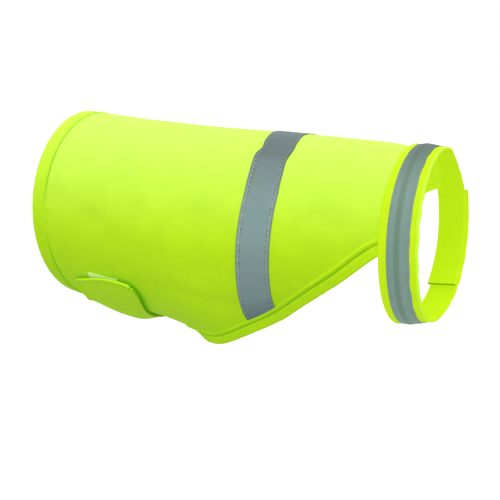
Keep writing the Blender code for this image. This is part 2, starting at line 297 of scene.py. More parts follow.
# Creases listed one by one: the right side as it shows, the left side and the belly in its manner.
CREASES = table(
    Crease,
    (0.022, 78.0, 0.062, 88.0, 0.0004, 0.011),
    (0.062, 88.0, 0.092, 101.0, 0.00035, 0.01),
    (0.017, 106.0, 0.026, 127.0, 0.00045, 0.0065),
    (0.118, 58.0, 0.146, 75.0, 0.0005, 0.016),
    (0.105, 89.0, 0.178, 92.0, -0.0003, 0.012),
    (0.09, 121.0, 0.132, 116.0, 0.00045, 0.0058),
    (0.132, 116.0, 0.176, 119.0, 0.0005, 0.0066),
    (0.212, 59.0, 0.222, 56.0, 0.00035, 0.009),
    (0.24, 72.0, 0.26, 77.0, 0.0005, 0.011),
    (0.211, 90.0, 0.222, 95.0, -0.0004, 0.009),
    (0.208, 108.0, 0.216, 111.0, 0.0005, 0.007),
    (0.04, 36.0, 0.12, 30.0, 0.00025, 0.016),
    (0.228, 40.0, 0.262, 46.0, 0.0003, 0.012),
    (0.026, -72.0, 0.075, -88.0, 0.00055, 0.011),
    (0.09, -104.0, 0.15, -96.0, 0.00045, 0.008),
    (0.115, -52.0, 0.152, -66.0, 0.0005, 0.015),
    (0.046, -112.0, 0.088, -126.0, 0.00045, 0.008),
    (0.212, -44.0, 0.248, -58.0, 0.00045, 0.011),
    (0.205, -76.0, 0.222, -72.0, 0.0004, 0.008),
    (0.1, 148.0, 0.128, 136.0, 0.0004, 0.007),
)


# ---- Curves and surfaces ----


def read_column(rows: tuple, column: int, at: Values) -> Values:
    """Smooth values of one column of a table whose first column rises, by cubic segments.

    Args:
        rows: the table.
        column: which column to read.
        at: places along the first column.

    Returns:
        The column's values at those places.
    """
    grid = np.array(rows, float)
    keys, values = grid[:, 0], grid[:, column]
    at = np.clip(at, keys[0], keys[-1])
    low = np.clip(np.searchsorted(keys, at) - 1, 0, len(keys) - 2)
    after = np.minimum(np.arange(len(keys)) + 1, len(keys) - 1)
    before = np.maximum(np.arange(len(keys)) - 1, 0)
    slopes = (values[after] - values[before]) / (keys[after] - keys[before])
    span = keys[low + 1] - keys[low]
    share = (at - keys[low]) / span
    square, cube = share**2, share**3
    return (
        (2 * cube - 3 * square + 1) * values[low]
        + (cube - 2 * square + share) * span * slopes[low]
        + (3 * square - 2 * cube) * values[low + 1]
        + (cube - square) * span * slopes[low + 1]
    )


def smooth_step(start: float, end: float, at: Values) -> Values:
    """Nought before start, one after end, and an even rise between."""
    share = np.clip((at - start) / (end - start), 0.0, 1.0)
    return share * share * (3.0 - 2.0 * share)


def mix(start: Values, end: Values, share: Values) -> Values:
    """Straight mix of two values."""
    return start + (end - start) * share


def bump_at(distance: Values, width: float) -> Values:
    """One at no distance, falling off as a soft bell of that width."""
    return np.exp(-((distance / width) ** 2))


def ripple(run: Values, pitch: float, phase: float) -> Values:
    """Uneven wave along a seam, between minus one and one.

    Args:
        run: distances along the seam.
        pitch: usual distance between two crests.
        phase: shifts the crests, so that no two seams pucker alike.

    Returns:
        The wave's height at each distance.
    """
    turns = 2.0 * math.pi * run / pitch
    wander = 0.9 * np.sin(turns / 3.7 + phase)
    swell = 0.62 + 0.38 * np.sin(turns / 5.3 + 2.0 * phase)
    return swell * np.sin(turns + wander + phase)


def unit(vectors: Values) -> Values:
    """The same directions with a length of one."""
    return vectors / np.linalg.norm(vectors, axis=-1, keepdims=True)


def lengths_along(points: Values) -> Values:
    """Distance of each point of a line from its first, along the line."""
    steps = np.linalg.norm(np.diff(points, axis=0), axis=1)
    return np.concatenate([[0.0], np.cumsum(steps)])


def edge_turns(station: Values) -> tuple[Values, Values]:
    """Turns of the back cloth's right and left edge at these stations."""
    return read_column(EDGE_ROWS, 1, station), read_column(EDGE_ROWS, 2, station)


@dataclass(frozen=True)
class Trunk:
    """Outer face of the cloth round the trunk, with the soft creases that lie in it."""

    held_station: float = 0.14
    girth_radius: float = 0.072
    drift_height: float = 0.00032
    probe_station: float = 0.0005
    probe_turn: float = 0.25
    shoulder: float = 0.9
    bound: Span = (0.002, 0.014)
    rim_bound: Span = (0.012, 0.022)

    @property
    def held_height(self) -> float:
        """Height of the origin over the trunk's own zero line."""
        return float(read_column(TRUNK_ROWS, 1, np.array(self.held_station))) - CLOTH_WALL

    def girth_to(self, turn: Values) -> Values:
        """Distance round the trunk from its top line."""
        return np.radians(turn) * self.girth_radius

    def cut_at(self, station: Values, turn: Values) -> Values:
        """Where a place on the trunk lies on the flat cut."""
        return np.stack([station, self.girth_to(turn)], axis=-1)

    def face(self, station: Values, turn: Values) -> Values:
        """Points on the plain trunk, before its creases.

        Args:
            station: distances forward of the rear rim.
            turn: degrees round the trunk.

        Returns:
            One point for each pair.
        """
        top, middle, bottom, half_width = (
            read_column(TRUNK_ROWS, column, station) for column in range(1, 5)
        )
        angle = np.radians(turn)
        reach = np.where(np.cos(angle) > 0.0, top - middle, middle - bottom)
        across = -half_width * np.sin(angle)
        height = middle + reach * np.cos(angle) - self.held_height
        return np.stack([station - self.held_station + 0.0 * angle, across, height], axis=-1)

    def normal(self, station: Values, turn: Values) -> Values:
        """Outward directions of the plain trunk at these stations and turns."""
        ahead, behind = station + self.probe_station, station - self.probe_station
        along = self.face(ahead, turn) - self.face(behind, turn)
        before, after = turn - self.probe_turn, turn + self.probe_turn
        across = self.face(station, before) - self.face(station, after)
        return unit(np.cross(along, across))

    def drift(self, station: Values, turn: Values) -> Values:
        """Slow unevenness that keeps the cloth from looking turned on a lathe."""
        angle = np.radians(turn)
        long_wave = np.sin(75.0 * station + 1.3 + 0.8 * np.sin(angle)) * np.sin(2.0 * angle + 0.4)
        short_wave = np.sin(134.0 * station + 2.1 + 1.6 * np.sin(2.0 * angle + 1.0))
        return self.drift_height * (long_wave + 0.45 * short_wave * np.sin(3.0 * angle + 0.7))

    def freedom(self, station: Values, turn: Values) -> Values:
        """How free the cloth is to crease: nought at its bound edges, one well inside them."""
        right, left = edge_turns(station)
        free = smooth_step(*self.bound, self.girth_to(right - turn))
        free = free * smooth_step(*self.bound, self.girth_to(turn - left))
        return free * smooth_step(*self.rim_bound, station)

    def relief(self, station: Values, turn: Values) -> Values:
        """Height of creases and drift over the plain trunk.

        Args:
            station: distances forward of the rear rim.
            turn: degrees round the trunk.

        Returns:
            Metres outwards, negative in a trough.
        """
        height = self.drift(station, turn)
        round_it = self.girth_to(turn)
        for crease in CREASES:
            start = self.cut_at(crease.from_station, crease.from_turn)
            end = self.cut_at(crease.to_station, crease.to_turn)
            run = end - start
            share = ((station - start[0]) * run[0] + (round_it - start[1]) * run[1]) / (run @ run)
            share = np.clip(share, 0.0, 1.0)
            away_station = station - (start[0] + share * run[0])
            away_round = round_it - (start[1] + share * run[1])
            square = (away_station**2 + away_round**2) / crease.width**2
            height = height - crease.depth * (1.0 - self.shoulder * square) * np.exp(-square)
        return height * self.freedom(station, turn)

    def point(self, station: Values, turn: Values, lift: Values = 0.0) -> Values:
        """Points that stand off the creased cloth's outer face by lift, in metres."""
        height = np.asarray(lift + self.relief(station, turn))
        return self.face(station, turn) + self.normal(station, turn) * height[..., None]


@dataclass(frozen=True)
class Neck:
    """Outer face of the neck strap, which climbs over its own end on the left."""

    trunk: Trunk = Trunk()
    climb_from: float = 168.0
    climb_to: float = 224.0
    layer: float = STRAP_WALL + 0.001 + 2.0 * SEAM_GAP
    probe_across: float = 0.01
    probe_turn: float = 0.25
    lean: float = 0.0033
    lean_over: Span = (90.0, 180.0)
    flat_across: Span = (0.3, 1.0)

    @staticmethod
    def apart(turn: Values, other: float) -> Values:
        """Degrees from the other turn on to this one, the short way round."""
        return (turn - other + 180.0) % 360.0 - 180.0

    def pressed(self, across: Values, turn: Values) -> Values:
        """How far the strap lies in towards the neck, at the flats in its front edge."""
        bells = [
            flat.depth * np.maximum(1.0 - (self.apart(turn, flat.turn) / flat.reach) ** 2, 0.0) ** 2
            for flat in NECK_FLATS
        ]
        return sum(bells) * smooth_step(*self.flat_across, across)

    def face(self, across: Values, turn: Values) -> Values:
        """Points on the strap's oval: across is 0 on its rear edge and 1 on its front edge.

        Args:
            across: shares of the strap's width.
            turn: degrees round the neck.

        Returns:
            One point for each pair, with the strap's lean and its flats.
        """
        angle = np.radians(turn)
        station, middle, half_height, half_width = (
            mix(rear, front, across) for rear, front in zip(NECK_REAR, NECK_FRONT)
        )
        station = station - self.lean * smooth_step(*self.lean_over, np.abs(self.apart(turn, 0.0)))
        pressed = self.pressed(across, turn)
        height = middle + (half_height - pressed) * np.cos(angle) - self.trunk.held_height
        side = -(half_width - pressed) * np.sin(angle)
        return np.stack([station - self.trunk.held_station, side, height], axis=-1)

    def normal(self, across: Values, turn: Values) -> Values:
        """Outward directions of the strap's face."""
        along = self.face(across + self.probe_across, turn) - self.face(across - self.probe_across, turn)
        before, after = turn - self.probe_turn, turn + self.probe_turn
        return unit(np.cross(along, self.face(across, before) - self.face(across, after)))

    def point(self, across: Values, turn: Values, lift: Values = 0.0) -> Values:
        """Points that stand off the strap's face by lift.

        Args:
            across: shares of the strap's width, from its rear edge.
            turn: degrees round the neck.
            lift: metres outwards from the strap's outer face.

        Returns:
            One point for each place.
        """
        climb = self.layer * smooth_step(self.climb_from, self.climb_to, turn)
        height = np.asarray(lift + climb)
        return self.face(across, turn) + self.normal(across, turn) * height[..., None]


# ---- Mesh making ----


def bend_grid(steps: tuple[int, int], surface: Surface, cut: Surface) -> Mesh:
    """Lay a grid of cloth on a surface.

    Args:
        steps: cells along and across.
        surface: gives points for shares along and across, both from 0 to 1.
        cut: gives the same shares' places on the flat cut, in metres, for the weave.

    Returns:
        The open sheet, with its places on the cut as a UV map.
    """
    sheet = bmesh.new()
    bmesh.ops.create_grid(sheet, x_segments=steps[0], y_segments=steps[1], size=0.5)
    shares = np.array([vertex.co[:2] for vertex in sheet.verts]) + 0.5
    places = surface(shares[:, 0], shares[:, 1])
    flat = cut(shares[:, 0], shares[:, 1])
    layer = sheet.loops.layers.uv.new(CLOTH_UV)
    for face in sheet.faces:
        for loop in face.loops:
            loop[layer].uv = flat[loop.vert.index]
    for vertex, place in zip(sheet.verts, places):
        vertex.co = place
    return sheet


def thicken(sheet: Mesh, wall: float, lined: bool = False) -> None:
    """Give an open sheet its wall, inwards from its outer face.

    Args:
        sheet: the open sheet, its faces looking outwards.
        wall: how far the inner face lies behind the outer one.
        lined: whether the inner face takes the piece's second finish.
    """
    sheet.normal_update()
    behind = [(vertex, vertex.normal * wall) for vertex in sheet.verts]
    inner = sheet.faces[:]
    bmesh.ops.extrude_face_region(sheet, geom=inner, use_keep_orig=True)
    for vertex, push in behind:
        vertex.co -= push
    if lined:
        for face in inner:
            face.material_index = 1
    bmesh.ops.recalc_face_normals(sheet, faces=sheet.faces[:])


def round_rim(sheet: Mesh, offset: float, segments: int) -> None:
    """Round the square rim of a thickened sheet.

    Args:
        sheet: the closed wall.
        offset: how far from each corner line the rounding starts.
        segments: faces across the rounding.
    """
    sheet.normal_update()
    corner = math.radians(SHARP_ANGLE)
    rims = [edge for edge in sheet.edges if edge.is_manifold and edge.calc_face_angle() > corner]
    bmesh.ops.bevel(
        sheet, geom=rims, offset=offset, offset_type="OFFSET", segments=segments,
        profile=0.5, affect="EDGES", clamp_overlap=True, material=-1,
    )


def sweep(
    stops: int, profile: Values, place: Callable[[Values, Values, Values], Values], length: float
) -> Mesh:
    """Pull a closed cross-section along a path and close both ends.

    Args:
        stops: steps along the path.
        profile: corners of the cross-section, as (across, height) rows.
        place: gives points for shares of the path and for profile coordinates.
        length: the path's length, for the weave.

    Returns:
        The closed strip.
    """
    count = len(profile)
    loop = np.vstack([profile, profile[:1]])
    girth = lengths_along(loop)

    def corners(across: Values) -> Values:
        """Which corner of the profile each share stands for."""
        return np.rint(across * count).astype(int)

    def surface(along: Values, across: Values) -> Values:
        """Points of the strip's skin."""
        spots = loop[corners(across)]
        return place(along, spots[:, 0], spots[:, 1])

    def cut(along: Values, across: Values) -> Values:
        """Places on the flat cut."""
        return np.stack([along * length, girth[corners(across)]], axis=-1)

    strip = bend_grid((stops, count), surface, cut)
    bmesh.ops.remove_doubles(strip, verts=strip.verts[:], dist=MERGE_REACH)
    open_edges = [edge for edge in strip.edges if edge.is_boundary]
    bmesh.ops.holes_fill(strip, edges=open_edges, sides=0)
    bmesh.ops.recalc_face_normals(strip, faces=strip.faces[:])
    return strip


@dataclass
class Copies:
    """Many copies of one small shape, gathered as arrays of places and joined into one mesh."""

    unit: Mesh
    places: list[Values] = field(default_factory=list)

    def add(self, middles: Values, sides: Values, ups: Values, alongs: Values) -> int:
        """Place a copy at each middle, with where its X, Y and Z axes reach, and count them."""
        self.places.append(np.stack([sides, ups, alongs, middles], axis=1))
        return len(middles)

    def join(self) -> Mesh:
        """Join every copy into one mesh, each with the shape's own UV map.

        Returns:
            The joined mesh.
        """
        shape = bpy.data.meshes.new("one_copy")
        self.unit.to_mesh(shape)
        self.unit.free()
        places = np.concatenate(self.places)
        corners = np.array([(*vertex.co, 1.0) for vertex in shape.vertices])
        points = np.einsum("vk,nkx->nvx", corners, places).reshape(-1, 3)
        one = [list(face.vertices) for face in shape.polygons]
        shifts = range(0, len(points), len(corners))
        faces = [[corner + shift for corner in face] for shift in shifts for face in one]
        joined = bpy.data.meshes.new("copies")
        joined.from_pydata(points, [], faces)
        if shape.uv_layers:
            spots = np.array([spot.uv for spot in shape.uv_layers[0].data])
            spots = np.tile(spots, (len(places), 1))
            joined.uv_layers.new(name=CLOTH_UV).data.foreach_set("uv", spots.ravel())
        result = bmesh.new()
        result.from_mesh(joined)
        bpy.data.meshes.remove(joined)
        bpy.data.meshes.remove(shape)
        return result


@dataclass(frozen=True)
class Stitching:
    """Row of lock stitches: the short lengths of thread that show between needle holes."""

    pitch: float = 0.003
    shown: float = 0.0026
    width: float = 0.0005
    height: float = 0.00036

    @staticmethod
    def copies(dip: float = 0.9) -> Copies:
        """One stitch of unit size, whose ends dip into their needle holes, ready for copying."""
        stitch = bmesh.new()
        bmesh.ops.create_uvsphere(stitch, u_segments=8, v_segments=7, radius=0.5, calc_uvs=True)
        for vertex in stitch.verts:
            vertex.co.y -= dip * (2.0 * vertex.co.z) ** 4
        return Copies(stitch)

    def sew(self, thread: Copies, points: Values, normals: Values, run: Values) -> int:
        """Add one row of stitches.

        Args:
            thread: gathers every stitch of a piece.
            points: the seam's line on the cloth.
            normals: outward directions there.
            run: each point's distance along the seam, which the stitches are counted by.

        Returns:
            How many stitches the row has.
        """
        count = int((run[-1] - run[0]) // self.pitch)
        middles = run[0] + (np.arange(count) + 0.5) * self.pitch

        def read(line: Values, where: Values) -> Values:
            """A line's rows at distances along the seam."""
            return np.stack([np.interp(where, run, line[:, axis]) for axis in range(3)], axis=1)

        tails, heads = (read(points, middles + way * self.shown / 2) for way in (-1.0, 1.0))
        alongs = heads - tails
        sides = unit(np.cross(read(normals, middles), alongs))
        ups = unit(np.cross(alongs, sides))
        return thread.add((heads + tails) / 2, sides * self.width, ups * self.height, alongs)


# ---- Finishes ----

Colour = tuple[float, float, float]


class Recipe:
    """Adds and joins the nodes of one material, group or world."""

    def __init__(self, tree: Tree) -> None:
        """Start on an empty tree."""
        self.tree = tree
        tree.nodes.clear()

    def add(self, kind: str, **settings: object) -> Node:
        """Add a node.

        Args:
            kind: its Blender type name, without the ShaderNode in front.
            settings: properties to set on it.

        Returns:
            The new node.
        """
        node = self.tree.nodes.new(kind if kind.startswith("Node") else f"ShaderNode{kind}")
        for name, value in settings.items():
            setattr(node, name, value)
        return node

    def feed(self, socket: Socket, value: object) -> None:
        """Link a socket to another's output, or set it to a plain value."""
        if isinstance(value, Socket):
            self.tree.links.new(value, socket)
        else:
            socket.default_value = value

    def fill(self, node: Node, *values: object) -> Node:
        """Feed a node's first inputs in their order, and hand it back."""
        for socket, value in zip(node.inputs, values):
            self.feed(socket, value)
        return node

    def math(self, operation: str, *values: object) -> Socket:
        """Work out one number from others.

        Args:
            operation: the Math node's operation.
            values: sockets or numbers.

        Returns:
            The result's socket.
        """
        return self.fill(self.add("Math", operation=operation), *values).outputs[0]

    def times(self, first: object, second: object) -> Socket:
        """The product of two numbers."""
        return self.math("MULTIPLY", first, second)

    def blend(self, share: object, first: object, second: object) -> Socket:
        """Mix two colours, each a socket or a colour with no alpha."""
        node = self.add("Mix", data_type="RGBA")
        self.feed(node.inputs[0], share)
        for socket, value in ((node.inputs[6], first), (node.inputs[7], second)):
            self.feed(socket, value if isinstance(value, Socket) else (*value, 1.0))
        return node.outputs[2]

    def use_group(self, group: Tree, **values: object) -> object:
        """Place a node group, feed its inputs by name, and hand back its outputs."""
        return self.wire(self.add("Group", node_tree=group), **values).outputs

    def wire(self, node: Node, **values: object) -> Node:
        """Feed a node's inputs by name, an underscore standing for a blank, and hand it back."""
        for name, value in values.items():
            self.feed(node.inputs[name.replace("_", " ")], value)
        return node

    def split(self, vector: Socket) -> object:
        """The parts of a vector, by their names X, Y and Z."""
        return self.fill(self.add("SeparateXYZ"), vector).outputs

    def scale(self, colour: object, factor: object) -> Socket:
        """A colour made lighter or darker by a factor."""
        node = self.fill(self.add("VectorMath", operation="SCALE"), colour)
        return self.wire(node, Scale=factor).outputs[0]

    def step(self, value: object, start: float, end: float, low: float = 0.0) -> Socket:
        """Low before start, one after end, and an even rise between."""
        node = self.add("MapRange", interpolation_type="SMOOTHSTEP")
        return self.wire(node, Value=value, From_Min=start, From_Max=end, To_Min=low).outputs[0]

    def noise(self, place: object, scale: object, detail: float, rough: float = 0.5) -> Socket:
        """Smooth noise from 0 to 1."""
        node = self.wire(self.add("TexNoise"), Vector=place, Scale=scale, Detail=detail, Roughness=rough)
        return node.outputs["Fac"]

    def end_on(self, out: str, share: Socket, first: Node, second: Node) -> None:
        """Close on a mix of two shaders."""
        choice = self.fill(self.add("MixShader"), share, first.outputs[0], second.outputs[0])
        self.wire(self.add(out), Surface=choice.outputs[0])

    def raise_face(self, shader: Node, height: Socket, depth: float) -> None:
        """Turn a height from 0 to 1 into relief of a real depth on the shader's normal."""
        bump = self.wire(self.add("Bump"), Distance=depth, Height=height)
        self.feed(shader.inputs["Normal"], bump.outputs[0])


def open_group(name: str, inputs: dict[str, str], outputs: dict[str, str]) -> tuple:
    """Start a shader node group.

    Args:
        name: the group's name.
        inputs: socket type of each input, by name: Vector or Float.
        outputs: socket type of each output, by name.

    Returns:
        The group's recipe, its input node's outputs and its output node's inputs.
    """
    tree = bpy.data.node_groups.new(name, "ShaderNodeTree")
    for side, sockets in (("INPUT", inputs), ("OUTPUT", outputs)):
        for socket, kind in sockets.items():
            tree.interface.new_socket(socket, in_out=side, socket_type=f"NodeSocket{kind}")
    recipe = Recipe(tree)
    return recipe, recipe.add("NodeGroupInput").outputs, recipe.add("NodeGroupOutput").inputs


class Textures:
    """The node groups that the finishes share."""

    def __init__(self) -> None:
        """Build each group once."""
        self.knit = self.build_knit()
        self.mottle = self.build_mottle()
        self.beads = self.build_beads()
        self.holes = self.build_holes()
        self.seam = self.build_seam()

    @staticmethod
    def build_knit() -> Tree:
        """Rows of small knitted loops on the cloth's own cut: their height, and the gaps between."""
        recipe, given, put = open_group(
            "knit_loops",
            {"Cut": "Vector", "Wale": "Float", "Course": "Float", "Unevenness": "Float"},
            {"Height": "Float", "Gap": "Float"},
        )
        spot = recipe.split(given["Cut"])
        wander = recipe.math("SUBTRACT", recipe.noise(given["Cut"], 160.0, 1.0), 0.5)
        stray = recipe.times(wander, given["Unevenness"])
        wale = recipe.math("ADD", recipe.math("DIVIDE", spot["X"], given["Wale"]), stray)
        course = recipe.math("ADD", recipe.math("DIVIDE", spot["Y"], given["Course"]), stray)
        off_centre = recipe.math("ABSOLUTE", recipe.math("SUBTRACT", recipe.math("FRACT", wale), 0.5))
        slant = recipe.times(off_centre, 1.1)
        beat = recipe.math("SINE", recipe.times(recipe.math("ADD", course, slant), math.tau))
        loops = recipe.math("MULTIPLY_ADD", beat, 0.27, 0.73)
        valley = recipe.math("POWER", recipe.times(off_centre, 2.0), 3.0)
        rib = recipe.math("SUBTRACT", 1.0, valley)
        height = recipe.times(rib, loops)
        recipe.feed(put["Height"], height)
        recipe.feed(put["Gap"], recipe.math("SUBTRACT", 1.0, height))
        return recipe.tree

    @staticmethod
    def build_mottle() -> Tree:
        """Cloudy unevenness of dye and nap, from minus one to one."""
        recipe, given, put = open_group(
            "mottle", {"Place": "Vector", "Scale": "Float"}, {"Cloud": "Float"}
        )
        noise = recipe.noise(given["Place"], given["Scale"], 4.0, 0.62)
        spread = recipe.math("MULTIPLY_ADD", noise, 4.0, -2.0)
        recipe.feed(put["Cloud"], recipe.wire(recipe.add("Clamp"), Value=spread, Min=-1.0).outputs[0])
        return recipe.tree

    @staticmethod
    def build_beads() -> Tree:
        """Fine glass beads in the face of reflective tape, over the weave of its backing."""
        recipe, given, put = open_group(
            "glass_beads", {"Cut": "Vector", "Pitch": "Float"}, {"Height": "Float", "Glint": "Float"}
        )
        often = recipe.math("DIVIDE", 1.0, given["Pitch"])
        cells = recipe.wire(recipe.add("TexVoronoi"), Vector=given["Cut"], Scale=often, Randomness=0.55)
        height = recipe.math("SUBTRACT", 1.0, recipe.math("POWER", cells.outputs["Distance"], 2.0))
        recipe.feed(put["Height"], height)
        tone = recipe.fill(recipe.add("SeparateColor"), cells.outputs["Color"])
        recipe.feed(put["Glint"], recipe.math("SUBTRACT", tone.outputs[0], 0.5))
        return recipe.tree

    @staticmethod
    def build_seam() -> Tree:
        """Soft bell-shaped line at a given distance across the cut: painted seam shade and highlight on the
        knits, a lighter hairline on the tape.
        """
        recipe, given, put = open_group(
            "seam_line", {"Across": "Float", "Line": "Float", "Reach": "Float"}, {"Shade": "Float"}
        )
        off = recipe.math("SUBTRACT", given["Across"], given["Line"])
        off = recipe.math("DIVIDE", off, given["Reach"])
        square = recipe.times(off, off)
        recipe.feed(put["Shade"], recipe.math("EXPONENT", recipe.times(square, -1.0)))
        return recipe.tree

    @staticmethod
    def build_holes() -> Tree:
        """Needle holes along a seam, pulled long by the thread and some of them nearly closed."""
        recipe, given, put = open_group(
            "needle_holes",
            {"Cut": "Vector", "Pitch": "Float", "Line": "Float", "Reach": "Float"},
            {"Hole": "Float"},
        )
        spot = recipe.split(given["Cut"])
        count = recipe.math("DIVIDE", spot["X"], given["Pitch"])
        from_hole = recipe.math("SUBTRACT", count, recipe.math("ROUND", count))
        nearest = recipe.times(from_hole, given["Pitch"])
        aside = recipe.math("SUBTRACT", recipe.math("ABSOLUTE", spot["Y"]), given["Line"])
        squares = recipe.math(
            "ADD",
            recipe.times(recipe.math("POWER", recipe.math("ABSOLUTE", nearest), 2.0), 0.3),
            recipe.math("POWER", recipe.math("ABSOLUTE", aside), 2.0),
        )
        share = recipe.math("DIVIDE", squares, recipe.math("POWER", given["Reach"], 2.0))
        hole = recipe.math("EXPONENT", recipe.times(share, -1.0))
        open_share = recipe.step(recipe.noise(given["Cut"], 140.0, 2.0), 0.34, 0.56, 0.25)
        recipe.feed(put["Hole"], recipe.times(hole, open_share))
        return recipe.tree


@dataclass(frozen=True)
class Finish:
    """What every finish has: its name, plain colour, roughness and painted glow."""

    name: str
    colour: Colour
    roughness: float
    # painted glow: an emission that stands in for light, lifting the colour where shade falls
    painted_glow: Colour = (0.0, 0.0, 0.0)

    def start(self) -> tuple[bpy.types.Material, Recipe, Node]:
        """Make the material with its plain values.

        Returns:
            The material, its recipe and its Principled shader.
        """
        material = bpy.data.materials.new(self.name)
        material.use_nodes = True
        recipe = Recipe(material.node_tree)
        shader = recipe.wire(
            recipe.add("BsdfPrincipled"), Base_Color=(*self.colour, 1.0), Roughness=self.roughness,
            Emission_Color=(*self.painted_glow, 1.0), Emission_Strength=1.0,
        )
        recipe.wire(recipe.add("OutputMaterial"), Surface=shader.outputs[0])
        return material, recipe, shader

    def material(self, textures: Textures) -> bpy.types.Material:
        """The finished material; a plain finish is its colour alone."""
        return self.start()[0]


@dataclass(frozen=True)
class KnitFinish(Finish):
    """Fluorescent polyester knit with a short nap, with a painted glow that lifts its shade."""

    gap_colour: Colour = (0.4, 0.59, 0.004)
    wale: float = 0.0009
    course: float = 0.00072
    depth: float = 0.00008
    cloud_scale: float = 55.0
    cloud_strength: float = 0.045
    nap: float = 0.05
    gloss: float = 0.1
    # painted green glow that lifts the knit's shade
    painted_glow: Colour = (0.0, 0.14, 0.0)
    # painted highlight: the paler colour the knit takes towards its top, where the light falls
    top_highlight_colour: Colour = (0.57, 0.78, 0.13)
    top_highlight_heights: Span = (-0.085, 0.012)
    # painted seam line: shade painted into the groove beside a seam, faded out near the middle height where
    # the light reaches it; a painted highlight on the strap
    seam_at: float | None = None
    seam_axis: str = "Y"
    seam_reach: float = 0.0008
    painted_seam_share: float = 0.65
    painted_seam_colour: Colour = (0.2, 0.36, 0.0)
    painted_seam_clear: Span | None = None
    middle: float = -0.069

    def material(self, textures: Textures) -> bpy.types.Material:
        """Knitted loops, darker in their gaps, under a cloudy dye, painted paler towards the top as a
        highlight and, if asked, with a painted seam line.

        Args:
            textures: the shared node groups.

        Returns:
            The finished material.
        """
        material, recipe, shader = self.start()
        cut = recipe.add("UVMap", uv_map=CLOTH_UV).outputs[0]
        knit = recipe.use_group(textures.knit, Cut=cut, Wale=self.wale, Course=self.course, Unevenness=0.5)
        place = recipe.add("TexCoord").outputs["Object"]
        cloud, grain = (
            recipe.use_group(textures.mottle, Place=place, Scale=size * self.cloud_scale)["Cloud"]
            for size in (1.0, 14.0)
        )
        in_gap = recipe.times(knit["Gap"], 0.55)
        height = recipe.split(place)["Z"]
        # painted highlight, paler towards the top
        top_highlight = recipe.step(height, *self.top_highlight_heights)
        dyed = recipe.blend(in_gap, recipe.blend(top_highlight, self.colour, self.top_highlight_colour), self.gap_colour)
        # painted seam line: shade on the back and edge knits, a highlight on the strap
        if self.seam_at is not None:
            across = recipe.split(cut)[self.seam_axis]
            seam = recipe.use_group(
                textures.seam, Across=across, Line=self.seam_at, Reach=self.seam_reach
            )["Shade"]
            if self.painted_seam_clear is not None:
                off_middle = recipe.math("ABSOLUTE", recipe.math("SUBTRACT", height, self.middle))
                seam = recipe.times(seam, recipe.step(off_middle, *self.painted_seam_clear))
            dyed = recipe.blend(recipe.times(seam, self.painted_seam_share), dyed, self.painted_seam_colour)
        uneven = recipe.math("MULTIPLY_ADD", cloud, self.cloud_strength, 1.0)
        speckled = recipe.math("MULTIPLY_ADD", grain, 0.5 * self.cloud_strength, uneven)
        recipe.wire(
            shader, Base_Color=recipe.scale(dyed, speckled), Sheen_Weight=self.nap,
            Sheen_Roughness=0.45, Specular_IOR_Level=self.gloss,
        )
        recipe.raise_face(shader, knit["Height"], self.depth)
        return material


class BandTone(NamedTuple):
    """Painted light and shade on the reflective tape at one distance round it."""

    run: float
    tone: float


